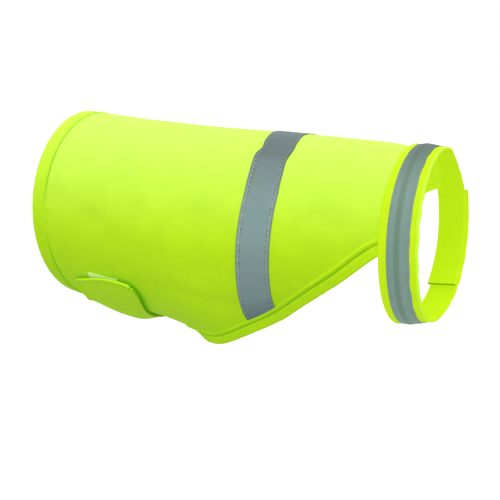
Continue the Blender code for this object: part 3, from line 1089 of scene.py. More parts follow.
@dataclass(frozen=True)
class BandFinish(Finish):
    """Grey retroreflective tape: glass beads on cloth, duller where it is pricked, with painted light and
    shade along it and painted shade at its fold and edges.
    """

    cool_colour: Colour = (0.2, 0.3, 0.32)
    margin_colour: Colour = (0.25, 0.31, 0.29)
    painted_tones: tuple[BandTone, ...] = (BandTone(-0.2, 1.0), BandTone(0.2, 1.0))
    # painted glow that lifts the tape's shade
    painted_glow: Colour = (0.02, 0.03, 0.03)
    half_width: float = 0.0125
    seam_line: float = 0.0099
    stitch_pitch: float = 0.0036
    hole_share: float = 0.85
    bead_pitch: float = 0.00036
    depth: float = 0.00006
    metal: float = 0.12
    # a painted shade stripe lies just past this fold line, if one is given
    fold_line: float | None = None
    fold_shade_colour: Colour = (0.16, 0.24, 0.21)

    def painted_tone_along(self, recipe: Recipe, run: Socket) -> Socket:
        """The tape's painted light and shade along its length, from its table.

        Args:
            recipe: the material's recipe.
            run: distance along the tape.

        Returns:
            The factor's socket.
        """
        first, last = self.painted_tones[0].run, self.painted_tones[-1].run
        ramp = recipe.add("ValToRGB")
        share = recipe.math("MULTIPLY_ADD", run, 1.0 / (last - first), -first / (last - first))
        recipe.feed(ramp.inputs[0], share)
        stops = ramp.color_ramp.elements
        while len(stops) < len(self.painted_tones):
            stops.new(0.5)
        for stop, row in zip(stops, self.painted_tones):
            stop.position = (row.run - first) / (last - first)
            stop.color = (*(0.5 * row.tone,) * 3, 1.0)
        return recipe.times(ramp.outputs[0], 2.0)

    def material(self, textures: Textures) -> bpy.types.Material:
        """Beaded face with needle holes, streaky margins, painted shade along its edges, painted light and
        shade along its length and, if asked, painted shade past a fold.

        Args:
            textures: the shared node groups.

        Returns:
            The finished material.
        """
        material, recipe, shader = self.start()
        cut = recipe.add("UVMap", uv_map=CLOTH_UV).outputs[0]
        place = recipe.add("TexCoord").outputs["Object"]
        spot = recipe.split(cut)
        aside = recipe.math("ABSOLUTE", spot["Y"])
        beads = recipe.use_group(textures.beads, Cut=cut, Pitch=self.bead_pitch)
        cloud = recipe.use_group(textures.mottle, Place=place, Scale=26.0)["Cloud"]
        tone = recipe.blend(recipe.math("MULTIPLY_ADD", cloud, 0.5, 0.5), self.colour, self.cool_colour)
        # painted shade in a stripe just past the fold
        if self.fold_line is not None:
            off_fold = recipe.math("SUBTRACT", spot["Y"], self.fold_line)
            past_fold = recipe.step(off_fold, -0.0006, 0.0006)
            lit_again = recipe.step(off_fold, 0.0046, 0.0026)
            fold_shade = recipe.times(recipe.times(past_fold, lit_again), 0.95)
            tone = recipe.blend(fold_shade, tone, self.fold_shade_colour)
        in_margin = recipe.step(aside, self.seam_line - 0.0022, self.seam_line - 0.0004)
        tone = recipe.blend(recipe.times(in_margin, 0.6), tone, self.margin_colour)
        stretched = recipe.fill(recipe.add("VectorMath", operation="MULTIPLY"), cut, (0.35, 1.0, 1.0))
        mottle = recipe.use_group(textures.mottle, Place=stretched.outputs[0], Scale=900.0)
        streaks = mottle["Cloud"]
        streaky = recipe.times(recipe.times(in_margin, 0.16), streaks)
        tone = recipe.scale(tone, recipe.math("ADD", streaky, 1.0))
        hairline = recipe.use_group(
            textures.seam, Across=aside, Line=self.seam_line + 0.0008, Reach=0.00034
        )["Shade"]
        caught = recipe.times(hairline, recipe.math("MULTIPLY_ADD", streaks, 0.35, 0.3))
        tone = recipe.scale(tone, recipe.math("ADD", caught, 1.0))
        hole = recipe.use_group(
            textures.holes, Cut=cut, Pitch=self.stitch_pitch, Line=self.seam_line, Reach=0.00048
        )["Hole"]
        tone = recipe.blend(recipe.times(hole, self.hole_share), tone, (0.025, 0.045, 0.04))
        # painted shade along both edges of the tape
        edge_shade = recipe.step(aside, self.half_width - 0.0009, self.half_width - 0.0002)
        tone = recipe.blend(recipe.times(edge_shade, 0.5), tone, (0.07, 0.11, 0.09))
        glinting = recipe.math("MULTIPLY_ADD", beads["Glint"], 0.14, 1.0)
        tone = recipe.scale(tone, recipe.times(glinting, self.painted_tone_along(recipe, spot["X"])))
        recipe.wire(shader, Base_Color=tone, Metallic=self.metal, Specular_IOR_Level=0.35)
        sunk = recipe.math("SUBTRACT", beads["Height"], recipe.times(hole, 3.0))
        recipe.raise_face(shader, sunk, self.depth)
        return material


@dataclass(frozen=True)
class HookFinish(Finish):
    """Pale woven ground of hook tape, ribbed along its length."""

    rib: float = 0.0011
    depth: float = 0.00012
    # painted glow that lifts the shade among the hooks
    painted_glow: Colour = (0.11, 0.2, 0.0)

    def material(self, textures: Textures) -> bpy.types.Material:
        """Ribbed ground, a little darker between its ribs.

        Args:
            textures: the shared node groups.

        Returns:
            The finished material.
        """
        material, recipe, shader = self.start()
        cut = recipe.add("UVMap", uv_map=CLOTH_UV).outputs[0]
        ribs = recipe.use_group(
            textures.knit, Cut=cut, Wale=self.rib, Course=0.6 * self.rib, Unevenness=0.2
        )
        darker = tuple(0.72 * part for part in self.colour)
        tone = recipe.blend(recipe.times(ribs["Gap"], 0.6), self.colour, darker)
        recipe.wire(shader, Base_Color=tone)
        recipe.raise_face(shader, ribs["Height"], self.depth)
        return material


@dataclass(frozen=True)
class ThreadFinish(Finish):
    """Twisted polyester thread."""

    twists: float = 3.0
    depth: float = 0.00006

    def material(self, textures: Textures) -> bpy.types.Material:
        """Slanting strands round each stitch, with a little unevenness of dye.

        Args:
            textures: the shared node groups.

        Returns:
            The finished material.
        """
        material, recipe, shader = self.start()
        spot = recipe.split(recipe.add("UVMap", uv_map=CLOTH_UV).outputs[0])
        slant = recipe.math("MULTIPLY_ADD", spot["Y"], 2.0, spot["X"])
        strands = recipe.math("SINE", recipe.times(slant, math.tau * self.twists))
        place = recipe.add("TexCoord").outputs["Object"]
        cloud = recipe.use_group(textures.mottle, Place=place, Scale=900.0)["Cloud"]
        darker = tuple(0.7 * part for part in self.colour)
        share = recipe.math("MULTIPLY_ADD", cloud, 0.25, 0.3)
        recipe.wire(shader, Base_Color=recipe.blend(share, self.colour, darker), Sheen_Weight=0.1)
        recipe.raise_face(shader, strands, self.depth)
        return material


@dataclass
class Wardrobe:
    """Every finish of the vest, made once."""

    textures: Textures = field(default_factory=Textures)
    made: dict[str, bpy.types.Material] = field(default_factory=dict)

    def hang(self, finish: Finish) -> bpy.types.Material:
        """The material of a finish, made the first time it is asked for."""
        if finish.name not in self.made:
            self.made[finish.name] = finish.material(self.textures)
        return self.made[finish.name]


# painted light and shade along the back band: darker over the top and towards both ends
BACK_PAINTED_TONES = table(
    BandTone,
    (-0.176, 0.4),
    (-0.163, 0.56),
    (-0.146, 0.92),
    (-0.104, 0.98),
    (-0.08, 0.8),
    (-0.06, 0.56),
    (-0.049, 0.5),
    (-0.043, 0.38),
    (0.036, 0.4),
    (0.06, 0.56),
    (0.11, 0.96),
    (0.176, 0.66),
)
# painted light and shade along the neck band
NECK_PAINTED_TONES = table(
    BandTone,
    (-0.29, 1.1),
    (-0.19, 1.25),
    (-0.12, 1.0),
    (-0.06, 0.7),
    (0.0, 0.0),
    (0.064, 0.4),
)
# back knit: painted shade along the rim seam, cleared near the middle height
BACK_KNIT = KnitFinish(
    "fluorescent_knit", (0.57, 0.76, 0.01), 0.8, seam_at=0.0124, seam_axis="X", seam_reach=0.0009,
    painted_seam_share=0.75, painted_seam_clear=(0.004, 0.034),
)
# inside finish: a stronger painted glow brightens the inner faces where shade falls
INSIDE_KNIT = KnitFinish(
    "fluorescent_knit_inside", (0.42, 0.53, 0.006), 0.9, gap_colour=(0.3, 0.4, 0.004),
    painted_glow=(0.31, 0.48, 0.01), top_highlight_colour=(0.42, 0.53, 0.008),
)
# shaded copy of the knit, with no glow, nap or gloss: painted shade on the flap's underside and front wall
# and on the strap's cut ends
SHADED_KNIT = KnitFinish(
    "fluorescent_knit_painted_shade", (0.27, 0.55, 0.001), 0.95, gap_colour=(0.22, 0.46, 0.001),
    nap=0.0, gloss=0.0, painted_glow=(0.0, 0.0, 0.0), top_highlight_colour=(0.27, 0.55, 0.001),
)
RIM_KNIT = KnitFinish(
    "fluorescent_rim_knit", (0.55, 0.74, 0.006), 0.85, wale=0.0008, course=0.0007,
    top_highlight_colour=(0.56, 0.77, 0.065),
)
# edge knit: painted shade along the binding's sewn groove
EDGE_KNIT = KnitFinish(
    "fluorescent_edge_knit", (0.56, 0.76, 0.006), 0.85, wale=0.0008, course=0.0007,
    top_highlight_colour=(0.56, 0.77, 0.065), seam_at=0.0053, painted_seam_share=0.75,
)
# strap knit: a strong painted glow stands in for its light, and a painted highlight runs along its front
# roll
STRAP_KNIT = KnitFinish(
    "fluorescent_strap_knit", (0.27, 0.33, 0.002), 0.95, gap_colour=(0.2, 0.27, 0.002), wale=0.0008,
    course=0.0007, nap=0.02, gloss=0.03, painted_glow=(0.35, 0.58, 0.006), top_highlight_colour=(0.27, 0.33, 0.01),
    seam_at=0.0238, seam_reach=0.001, painted_seam_share=0.7, painted_seam_colour=(0.3, 0.6, 0.08),
)
BACK_BAND = BandFinish("reflective_band", (0.222, 0.325, 0.295), 0.5, painted_tones=BACK_PAINTED_TONES)
# neck band: a painted glow lifts its shade, painted light and shade run along it, and a painted shade
# stripe lies past its fold
NECK_BAND = BandFinish(
    "reflective_neck_band", (0.165, 0.245, 0.22), 0.5, cool_colour=(0.15, 0.23, 0.205),
    margin_colour=(0.15, 0.225, 0.19), painted_tones=NECK_PAINTED_TONES, painted_glow=(0.075, 0.125, 0.1), half_width=0.0074,
    seam_line=0.0061, stitch_pitch=0.0034, hole_share=0.12, fold_line=-0.0028,
    fold_shade_colour=(0.085, 0.15, 0.095),
)
HOOK_GROUND = HookFinish("hook_tape_ground", (0.7, 0.84, 0.5), 0.7)
HOOK_PLASTIC = HookFinish("hook_plastic", (0.76, 0.88, 0.6), 0.5)
# the yellow, strap and neck threads carry a painted glow, like the cloth they are sewn on
YELLOW_THREAD = ThreadFinish("yellow_thread", (0.54, 0.71, 0.012), 0.6, painted_glow=(0.0, 0.11, 0.0))
STRAP_THREAD = ThreadFinish("strap_thread", (0.26, 0.32, 0.002), 0.8, painted_glow=(0.33, 0.56, 0.006))
GREY_THREAD = ThreadFinish("grey_thread", (0.24, 0.32, 0.31), 0.55)
NECK_GREY_THREAD = ThreadFinish("neck_grey_thread", (0.15, 0.23, 0.21), 0.55, painted_glow=(0.06, 0.1, 0.09))


# ---- Pieces ----


@dataclass
class Atelier:
    """Turns finished meshes into pieces of the vest and tells the frame about them."""

    wardrobe: Wardrobe = field(default_factory=Wardrobe)

    def place(
        self, name: str, mesh_edit: Mesh, finish: Finish, slot: Slot,
        lining: Finish | None = None,
    ) -> bpy.types.Object:
        """Make an object at the origin that rides on the vest's one body.

        Args:
            name: the piece's name.
            mesh_edit: its finished mesh, which is used up.
            finish: what it is made of.
            slot: the record's slot for that finish; not used.
            lining: the finish of its inner face, where that differs.

        Returns:
            The new piece.
        """
        mesh = bpy.data.meshes.new(name)
        mesh_edit.to_mesh(mesh)
        mesh_edit.free()
        mesh.shade_smooth()
        mesh.set_sharp_from_angle(angle=math.radians(SHARP_ANGLE))
        for side in (finish, lining):
            if side is not None:
                mesh.materials.append(self.wardrobe.hang(side))
        piece = bpy.data.objects.new(name, mesh)
        bpy.context.scene.collection.objects.link(piece)
        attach(piece, BODY)
        log.info("%s: %d faces", name, len(mesh.polygons))
        return piece


@dataclass
class Cut:
    """One cut of cloth: its name, the node it stands for, its finish, flat size and thread."""

    name: str
    node: str
    slot: Slot
    finish: Finish
    flat: Span
    held: Hold = Hold.LAID
    rests_on: tuple[str, ...] = ()
    area: float | None = None
    lining: Finish | None = None
    yarn: Finish = YELLOW_THREAD
    stitching: Stitching = Stitching()
    trunk: Trunk = Trunk()

    def shape(self) -> Mesh:
        """The cut's finished mesh."""
        raise NotImplementedError

    def sewing(self, thread: Copies) -> int:
        """Add the cut's own stitches to a mesh of thread, and count them."""
        return 0

    def build(self, atelier: Atelier) -> bpy.types.Object:
        """Make the cut and its stitches.

        Args:
            atelier: places the pieces.

        Returns:
            The cut's own piece.
        """
        piece = atelier.place(self.name, self.shape(), self.finish, self.slot, self.lining)
        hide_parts(self.node)
        thread = Stitching.copies()
        if self.sewing(thread):
            atelier.place(f"{self.name}_stitches", thread.join(), self.yarn, self.slot)
        list(self.rests_on)
        return piece


@dataclass
class BackCloth(Cut):
    """Back and both wings in one cut, from under the belly on the right round to the left."""

    rear: float = 0.0112
    rim_seam: float = 0.0121
    rim_dip: float = 0.0006
    steps: tuple[int, int] = (150, 210)
    pucker: float = 0.00012
    pucker_reach: float = 0.006

    def along(self, share: Values) -> Values:
        """Station of a share of the length, closest where the edges turn up from the belly."""
        return np.interp(share, (0.0, 0.26, 0.52, 1.0), (self.rear, 0.08, 0.132, CLOTH_FRONT))

    def puckers(self, station: Values, turn: Values, right: Values, left: Values) -> Values:
        """Small gathers beside the bound edges."""
        rim = bump_at(station - 0.015, self.pucker_reach) * ripple(self.trunk.girth_to(turn), 0.0105, 0.7)
        low = bump_at(self.trunk.girth_to(right - turn), self.pucker_reach)
        high = bump_at(self.trunk.girth_to(turn - left), self.pucker_reach)
        sides = (low + high) * ripple(station, 0.012, 2.2)
        return self.pucker * (rim + sides) - self.rim_dip * bump_at(station - self.rim_seam, 0.0013)

    def shape(self) -> Mesh:
        """The creased panel with its wall."""

        def surface(along: Values, across: Values) -> Values:
            """Points of the outer face, with its gathers."""
            station = self.along(along)
            right, left = edge_turns(station)
            turn = mix(right, left, across)
            return self.trunk.point(station, turn, self.puckers(station, turn, right, left))

        def cut(along: Values, across: Values) -> Values:
            """Places on the flat cut."""
            station = self.along(along)
            return self.trunk.cut_at(station, mix(*edge_turns(station), across))

        panel = bend_grid(self.steps, surface, cut)
        thicken(panel, CLOTH_WALL, lined=True)
        # the front end wall takes the inside finish too, its painted glow in place of shade
        for face in panel.faces:
            if face.normal.x > 0.8:
                face.material_index = 1
        return panel


@dataclass(frozen=True)
class BindingSection:
    """Cross-section of a bound edge, outwards from the cloth: soft lip, sewn groove, flat fold."""

    width: float = 0.0102
    lap: float = 0.0022
    rise: float = 0.0016
    crown: float = 0.0007
    lip_at: float = -0.0004
    lip_height: float = 0.00045
    lip_width: float = 0.0013
    groove_at: float = 0.0024
    groove_depth: float = 0.0009
    groove_width: float = 0.0008
    inner_face: float = -0.0027
    inner_width: float = 0.008
    fold_reach: float = 0.0012

    def height(self, across: Values) -> Values:
        """Height of the outer face over the cloth's at distances out from the cloth's edge."""
        risen = mix(-0.0004, self.crown, smooth_step(-self.lap, self.rise - self.lap, across))
        lip = self.lip_height * bump_at(across - self.lip_at, self.lip_width)
        return risen + lip - self.groove_depth * bump_at(across - self.groove_at, self.groove_width)

    def corners(self) -> Values:
        """The closed outline, as (across, height) rows, from the lap round the outer fold.

        Returns:
            One row for each corner.
        """
        low, end = self.inner_face, self.width - self.fold_reach
        fine = np.linspace(-self.lap, self.groove_at + 0.002, 17)
        across = np.concatenate([fine, np.linspace(self.groove_at + 0.0029, end, 6)])
        outer = list(zip(across, self.height(across)))
        middle, half = (self.crown + low) / 2, (self.crown - low) / 2
        fold = [
            (end + self.fold_reach * math.sin(angle), middle + half * math.cos(angle))
            for angle in np.linspace(0.35, math.pi - 0.35, 6)
        ]
        inner_end = self.width - self.inner_width
        inner = [
            (end, low),
            (inner_end + 0.003, low),
            (inner_end + 0.0022, low + 0.0004),
            (inner_end + 0.0014, low),
            (inner_end, low + 0.0003),
            (inner_end - 0.0004, low + 0.0009),
            (-self.lap, low + 0.001),
        ]
        return np.array(outer + fold + inner)


CHEST_SECTION = BindingSection()
RIM_SECTION = BindingSection(
    width=0.0117, lap=0.0004, rise=0.0013, crown=0.0008, lip_at=0.0014, lip_height=0.00022,
    lip_width=0.0009, groove_at=0.0004, groove_depth=0.0004, groove_width=0.0006, inner_width=0.0083,
)


@dataclass
class BoundEdge(Cut):
    """Folded strip over an edge of the back cloth; each kind gives its own path."""

    section: BindingSection = CHEST_SECTION
    pucker: float = 0.00009
    pucker_pitch: float = 0.0088
    waver: float = 0.00008
    phase: float = 0.4
    fine_steps: int = 900
    stop_length: float = 0.0016

    def line(self, share: Values) -> tuple[Values, Values, Values]:
        """Root, direction across the strip, and outward direction, at shares of the path."""
        raise NotImplementedError

    def paced(self) -> tuple[Values, Values]:
        """Shares of the path, and each one's distance along the strip's middle."""
        share = np.linspace(0.0, 1.0, self.fine_steps)
        root, away, _ = self.line(share)
        return share, lengths_along(root + away * (0.5 * self.section.width))

    def place(self, share: Values, across: Values, height: Values) -> Values:
        """Points of the strip, with its gathers.

        Args:
            share: shares of the strip's own length.
            across: distance out from the cloth's edge.
            height: distance out from the cloth's face.

        Returns:
            One point for each.
        """
        shares, run = self.paced()
        distance = share * run[-1]
        root, away, out = self.line(np.interp(distance, run, shares))
        groove = self.section.groove_at
        gathers = ripple(distance, self.pucker_pitch, self.phase) * smooth_step(0.0, 0.0012, height)
        beside = bump_at(across - groove - 0.0022, 0.0024) + 0.6 * bump_at(across - groove + 0.0016, 0.0012)
        height = height + self.pucker * gathers * beside
        edge = smooth_step(self.section.width - 0.002, self.section.width, across)
        across = across + self.waver * edge * ripple(distance, 2.6 * self.pucker_pitch, self.phase + 1.0)
        return root + away * (SEAM_GAP + across)[:, None] + out * height[:, None]

    def shape(self) -> Mesh:
        """The strip, pulled along its edge."""
        _, run = self.paced()
        stops = int(run[-1] / self.stop_length)
        log.info("%s is %.3f m long", self.name, run[-1])
        strip = sweep(stops, self.section.corners(), self.place, float(run[-1]))
        # faces that look inwards take the inside finish, with its painted glow
        for face in strip.faces if self.lining else ():
            middle = face.calc_center_median()
            inwards = face.normal.y * middle.y + face.normal.z * (middle.z - BACK_KNIT.middle) < 0.0
            face.material_index = int(inwards)
        return strip

    def sewing(self, thread: Copies) -> int:
        """One row of stitches in the groove, outside and inside.

        Args:
            thread: gathers them.

        Returns:
            How many there are.
        """
        shares, run = self.paced()
        root, away, out = self.line(shares)
        seam = root + away * (SEAM_GAP + self.section.groove_at)
        lift = float(self.section.height(np.array(self.section.groove_at))) + 0.00006
        count = self.stitching.sew(thread, seam + out * lift, out, run)
        inside = root + away * (SEAM_GAP + self.section.width - self.section.inner_width + 0.0022)
        inside = inside + out * (self.section.inner_face + 0.0003)
        return count + self.stitching.sew(thread, inside, -out, run)


@dataclass
class RimBinding(BoundEdge):
    """Binding round the rear rim, over the cloth's whole rear edge."""

    section: BindingSection = RIM_SECTION

    def line(self, share: Values) -> tuple[Values, Values, Values]:
        """The path round the rim; across runs back towards the rim's end."""
        turn = mix(EDGE_ROWS[0].right, EDGE_ROWS[0].left, share)
        station = np.full_like(turn, self.section.width + SEAM_GAP)
        root = self.trunk.point(station, turn)
        away = self.trunk.point(station - self.section.width, turn) - root
        return root, away / self.section.width, self.trunk.normal(station, turn)


@dataclass
class ChestBinding(BoundEdge):
    """Binding along one chest edge, from under the belly up to the neck strap."""

    side: Side = Side.RIGHT
    start: float = 0.0895
    square_from: float = 0.2505
    end: float = 0.286
    sag: float = 0.8
    sag_rise: Span = (0.112, 0.145)
    sag_fall: Span = (0.205, 0.262)
    flatten_from: float = 0.274
    probe: float = 0.001

    def edge(self, station: Values) -> Values:
        """Turn of the cloth's edge on this side."""
        right, left = edge_turns(station)
        return right if self.side is Side.RIGHT else left

    def line(self, share: Values) -> tuple[Values, Values, Values]:
        """The path up the edge; the strip hangs a little more than the cloth behind the legs.

        Args:
            share: shares of the path.

        Returns:
            Roots, directions across the strip, and outward directions.
        """
        station = mix(self.start, self.end, share)
        turn = self.edge(station)
        root = self.trunk.point(station, turn)
        ahead, behind = station + self.probe, station - self.probe
        along = self.trunk.face(ahead, self.edge(ahead)) - self.trunk.face(behind, self.edge(behind))
        out = self.trunk.normal(station, turn)
        away = unit(np.cross(along, out)) * self.side.value
        past = self.trunk.face(station, turn + self.trunk.probe_turn * self.side.value)
        down = unit(past - self.trunk.face(station, turn))
        square = smooth_step(self.square_from, 0.2805, station)[:, None]
        away = mix(away, down / (away * down).sum(axis=1)[:, None], square)
        sag = smooth_step(*self.sag_rise, station) - smooth_step(*self.sag_fall, station)
        length = np.linalg.norm(away, axis=1)[:, None]
        hung = away + np.stack([0.0 * sag, 0.0 * sag, -self.sag * sag], axis=1)
        away = unit(hung) * length
        out = unit(out - away * ((out * away).sum(axis=1)[:, None] / length**2))
        return root, away, out

    def place(self, share: Values, across: Values, height: Values) -> Values:
        """Points of the strip, which lies flatter where it goes under the neck strap."""
        station = mix(self.start, self.end, share)
        flat = smooth_step(self.flatten_from, NECK_REAR.station, station)
        return super().place(share, across, height * mix(1.0, 0.25, flat * (height > 0.0)))


@dataclass
class BackBand(Cut):
    """Reflective band over the back, from chest edge to chest edge."""

    width: float = 0.025
    wall: float = 0.00045
    steps: tuple[int, int] = (28, 270)
    seam_inset: float = 0.0026
    dent: float = 0.0002
    dent_width: float = 0.001
    pucker: float = 0.00014
    tuck: float = 0.6
    kink: float = 0.0022
    kink_from: Span = (28.5, 34.5)
    kink_from_front: Span = (19.0, 42.0)
    kink_to: Span = (35.0, 51.0)
    kink_fold: float = 0.00025
    fold_turn: float = 39.0
    yarn: Finish = GREY_THREAD
    stitching: Stitching = Stitching(pitch=0.0036, shown=0.0022, width=0.0004, height=0.00024)

    def station(self, off: Values, turn: Values) -> Values:
        """Station of a line that runs off metres in front of the band's middle, with its kink."""
        sharp, slow = smooth_step(*self.kink_from, turn), smooth_step(*self.kink_from_front, turn)
        kinked = mix(sharp, slow, off / self.width + 0.5) * (1.0 - smooth_step(*self.kink_to, turn))
        return read_column(BAND_ROWS, 1, turn) + off - self.kink * kinked

    def ends(self, off: Values) -> tuple[Values, Values]:
        """Turns where such a line meets the right and the left edge of the cloth."""
        right, left = np.zeros_like(off), np.zeros_like(off)
        for _ in range(6):
            right = read_column(EDGE_ROWS, 1, self.station(off, right))
            left = read_column(EDGE_ROWS, 2, self.station(off, left))
        return right + self.tuck, left - self.tuck

    def relief(self, off: Values, turn: Values) -> Values:
        """Dents along the two seams and small gathers between their stitches."""
        run = self.trunk.girth_to(turn)
        from_seam = np.abs(off) - (self.width / 2 - self.seam_inset)
        gathers = ripple(run, 0.0092, 1.1) * bump_at(from_seam, 0.003)
        fold = self.kink_fold * bump_at(run - self.trunk.girth_to(self.fold_turn), 0.0013)
        return self.pucker * gathers - self.dent * bump_at(from_seam, self.dent_width) - fold

    def point(self, off: Values, turn: Values, lift: float) -> Values:
        """Points of the band, or off it by lift."""
        return self.trunk.point(self.station(off, turn), turn, lift + self.relief(off, turn))

    def run(self, turn: Values) -> Values:
        """Distance round the trunk that the weave and the stitches are counted by."""
        return -self.trunk.girth_to(turn)

    def shape(self) -> Mesh:
        """The band with its thin wall."""
        lift = self.wall + 0.00015

        def turned(along: Values, across: Values) -> tuple[Values, Values]:
            """Distance off the middle line, and turn, of shares over and along the band."""
            off = (along - 0.5) * self.width
            right, left = self.ends(off)
            return off, mix(right, left, across)

        def surface(along: Values, across: Values) -> Values:
            """Points of the outer face."""
            return self.point(*turned(along, across), lift)

        def cut(along: Values, across: Values) -> Values:
            """Places on the flat cut."""
            off, turn = turned(along, across)
            return np.stack([self.run(turn), off], axis=-1)

        band = bend_grid(self.steps, surface, cut)
        thicken(band, self.wall)
        return band

    def sewing(self, thread: Copies) -> int:
        """Two rows of stitches, on the band and on the cloth's inner face.

        Args:
            thread: gathers them.

        Returns:
            How many there are.
        """
        count = 0
        for side in Side:
            off = side.value * (self.width / 2 - self.seam_inset)
            right, left = (float(end[0]) for end in self.ends(np.array([off])))
            first = self.stitching.pitch * math.ceil(self.run(np.array(right)) / self.stitching.pitch)
            turn = np.linspace(-math.degrees(first / self.trunk.girth_radius), left, 700)
            off = np.full_like(turn, off)
            out = self.trunk.normal(self.station(off, turn), turn)
            outside = self.point(off, turn, self.wall + 0.00022)
            inside = self.point(off, turn, -CLOTH_WALL - 0.00005)
            count += self.stitching.sew(thread, outside, out, self.run(turn))
            count += self.stitching.sew(thread, inside, -out, self.run(turn))
        return count


@dataclass
class BellyFlap(Cut):
    """Closing flap: sewn to the left wing under the belly, pressed on the right flank."""

    root_turn: float = 208.0
    seat_turn: float = 195.0
    hook_wall: float = 0.001
    slack: float = 0.0049
    slack_turn: float = 176.0
    slack_spread: float = 40.0
    slack_rise: Span = (0.016, 0.06)
    slack_fall: Span = (0.06, 0.077)
    front_hold: float = 0.97
    steps: tuple[int, int] = (64, 92)
    rear_corner: float = 0.0022
    front_corner: float = 0.005
    border: float = 0.0028
    border_height: float = 0.00105
    groove_at: float = 0.0036
    groove: float = 0.00018
    shaded_front_facing: float = 0.75

    def tightness(self, station: Values, turn: Values) -> Values:
        """How close the flap lies under the belly's two ends, where no hook tape holds it off."""
        rear = (1.0 - smooth_step(0.02, 0.046, station)) * smooth_step(148.0, 162.0, turn)
        return np.maximum(rear, smooth_step(0.07, 0.08, station) * smooth_step(126.0, 142.0, turn))

    def lift(self, station: Values, turn: Values) -> Values:
        """Height of the flap's outer face over the cloth: it hangs slack between its two ends.

        Args:
            station: distances forward of the rear rim.
            turn: degrees round the trunk.

        Returns:
            Metres outwards.
        """
        closed = self.hook_wall + 2.0 * SEAM_GAP
        seat = mix(closed, SEAM_GAP, smooth_step(self.seat_turn, self.root_turn, turn))
        seat = mix(seat, SEAM_GAP, self.tightness(station, turn))
        reach = (turn - self.slack_turn) / self.slack_spread
        rear_free = smooth_step(*self.slack_rise, station)
        front_free = 1.0 - self.front_hold * smooth_step(*self.slack_fall, station)
        hang = self.slack * rear_free * front_free * np.maximum(1.0 - reach**2, 0.0) ** 2
        return seat + hang + CLOTH_WALL

    def spot(self, along: Values, across: Values) -> tuple[Values, Values, Values]:
        """Where shares along and up the flap lie, with its two upper corners rounded.

        Args:
            along: shares from the rear edge to the front edge.
            across: shares from the sewn root to the upper edge.

        Returns:
            Stations, turns, and distances in from the nearest free edge.
        """
        corner, radius = FLAP_ROWS[0], self.trunk.girth_radius
        crest = mix(corner.rear, corner.front, along)
        top = read_column(FLAP_TOP_ROWS, 1, crest)
        turn = mix(self.root_turn, top, across)
        below = np.radians(turn - top) * radius
        rear, front = read_column(FLAP_ROWS, 1, turn), read_column(FLAP_ROWS, 2, turn)
        station = mix(rear, front, along)
        edge = np.minimum(np.minimum(station - rear, front - station), below)
        for way, side, reach in (
            (1.0, station - rear, self.rear_corner), (-1.0, front - station, self.front_corner)
        ):
            right, up = (np.clip(reach - part, 0.0, reach) for part in (side, below))
            round_right = right * np.sqrt(1.0 - 0.5 * (up / reach) ** 2)
            round_up = up * np.sqrt(1.0 - 0.5 * (right / reach) ** 2)
            edge = np.where((right > 0.0) & (up > 0.0), reach - np.hypot(round_right, round_up), edge)
            shift = way * (right - round_right) * (up > 0.0)
            station, slope = station + shift, read_column(FLAP_TOP_ROWS, 1, crest + shift) - top
            turn = turn + slope + np.degrees((up - round_up) / radius)
        return station, turn, edge

    def surface(self, along: Values, across: Values) -> Values:
        """Points of the flap's outer face, with its rolled border, sewn groove and slack folds.

        Args:
            along: shares from the rear edge to the front edge.
            across: shares from the sewn root to the upper edge.

        Returns:
            One point for each place.
        """
        station, turn, edge = self.spot(along, across)
        rolled = self.border_height * (1.0 - smooth_step(0.4 * self.border, 1.3 * self.border, edge))
        rolled = rolled * (1.0 - self.tightness(station, turn) * smooth_step(140.0, 156.0, turn))
        sunk = self.groove * bump_at(edge - self.groove_at, 0.0009)
        run = self.trunk.girth_to(turn) + station
        gathers = 0.00012 * ripple(run, 0.0085, 0.9) * bump_at(edge - self.groove_at, 0.003)
        folds = -0.0005 * bump_at(station - mix(0.036, 0.058, smooth_step(125.0, 160.0, turn)), 0.008)
        lift = self.lift(station, turn) + rolled - sunk + gathers + folds * smooth_step(124.0, 142.0, turn)
        return self.trunk.face(station, turn) + self.trunk.normal(station, turn) * lift[:, None]

    def shape(self) -> Mesh:
        """The flap with its wall and rounded rim; its grid is closest along the free edges."""

        def close(along: Values, across: Values) -> tuple[Values, Values]:
            """Shares drawn towards the free edges."""
            along = np.interp(along, (0.0, 0.2, 0.8, 1.0), (0.0, 0.09, 0.91, 1.0))
            return along, np.interp(across, (0.0, 0.66, 1.0), (0.0, 0.9, 1.0))

        def surface(along: Values, across: Values) -> Values:
            """Points of the outer face."""
            return self.surface(*close(along, across))

        def cut(along: Values, across: Values) -> Values:
            """Places on the flat cut."""
            return self.trunk.cut_at(*self.spot(*close(along, across))[:2])

        flap = bend_grid(self.steps, surface, cut)
        thicken(flap, CLOTH_WALL, lined=True)
        # the flap's inner face and front wall take the shaded finish: painted shade along its front edge
        for face in flap.faces:
            if face.normal.x > self.shaded_front_facing and face.calc_area() > 0.0:
                face.material_index = 1
        round_rim(flap, 0.00055, 3)
        return flap

    def sewing(self, thread: Copies) -> int:
        """One row of stitches up the rear edge, along the top and down the front.

        Args:
            thread: gathers them.

        Returns:
            How many there are.
        """
        along, up = self.groove_at / 0.058, 1.0 - self.groove_at / 0.109
        corners = np.array([(along, 0.03), (along, up), (1.0 - along, up), (1.0 - along, 0.03)])
        knots = np.linspace(0.0, 3.0, 900)
        along, across = (np.interp(knots, range(4), corners[:, axis]) for axis in range(2))
        out = self.trunk.normal(*self.spot(along, across)[:2])
        seam = self.surface(along, across) + out * 0.00005
        return self.stitching.sew(thread, seam, out, lengths_along(seam))


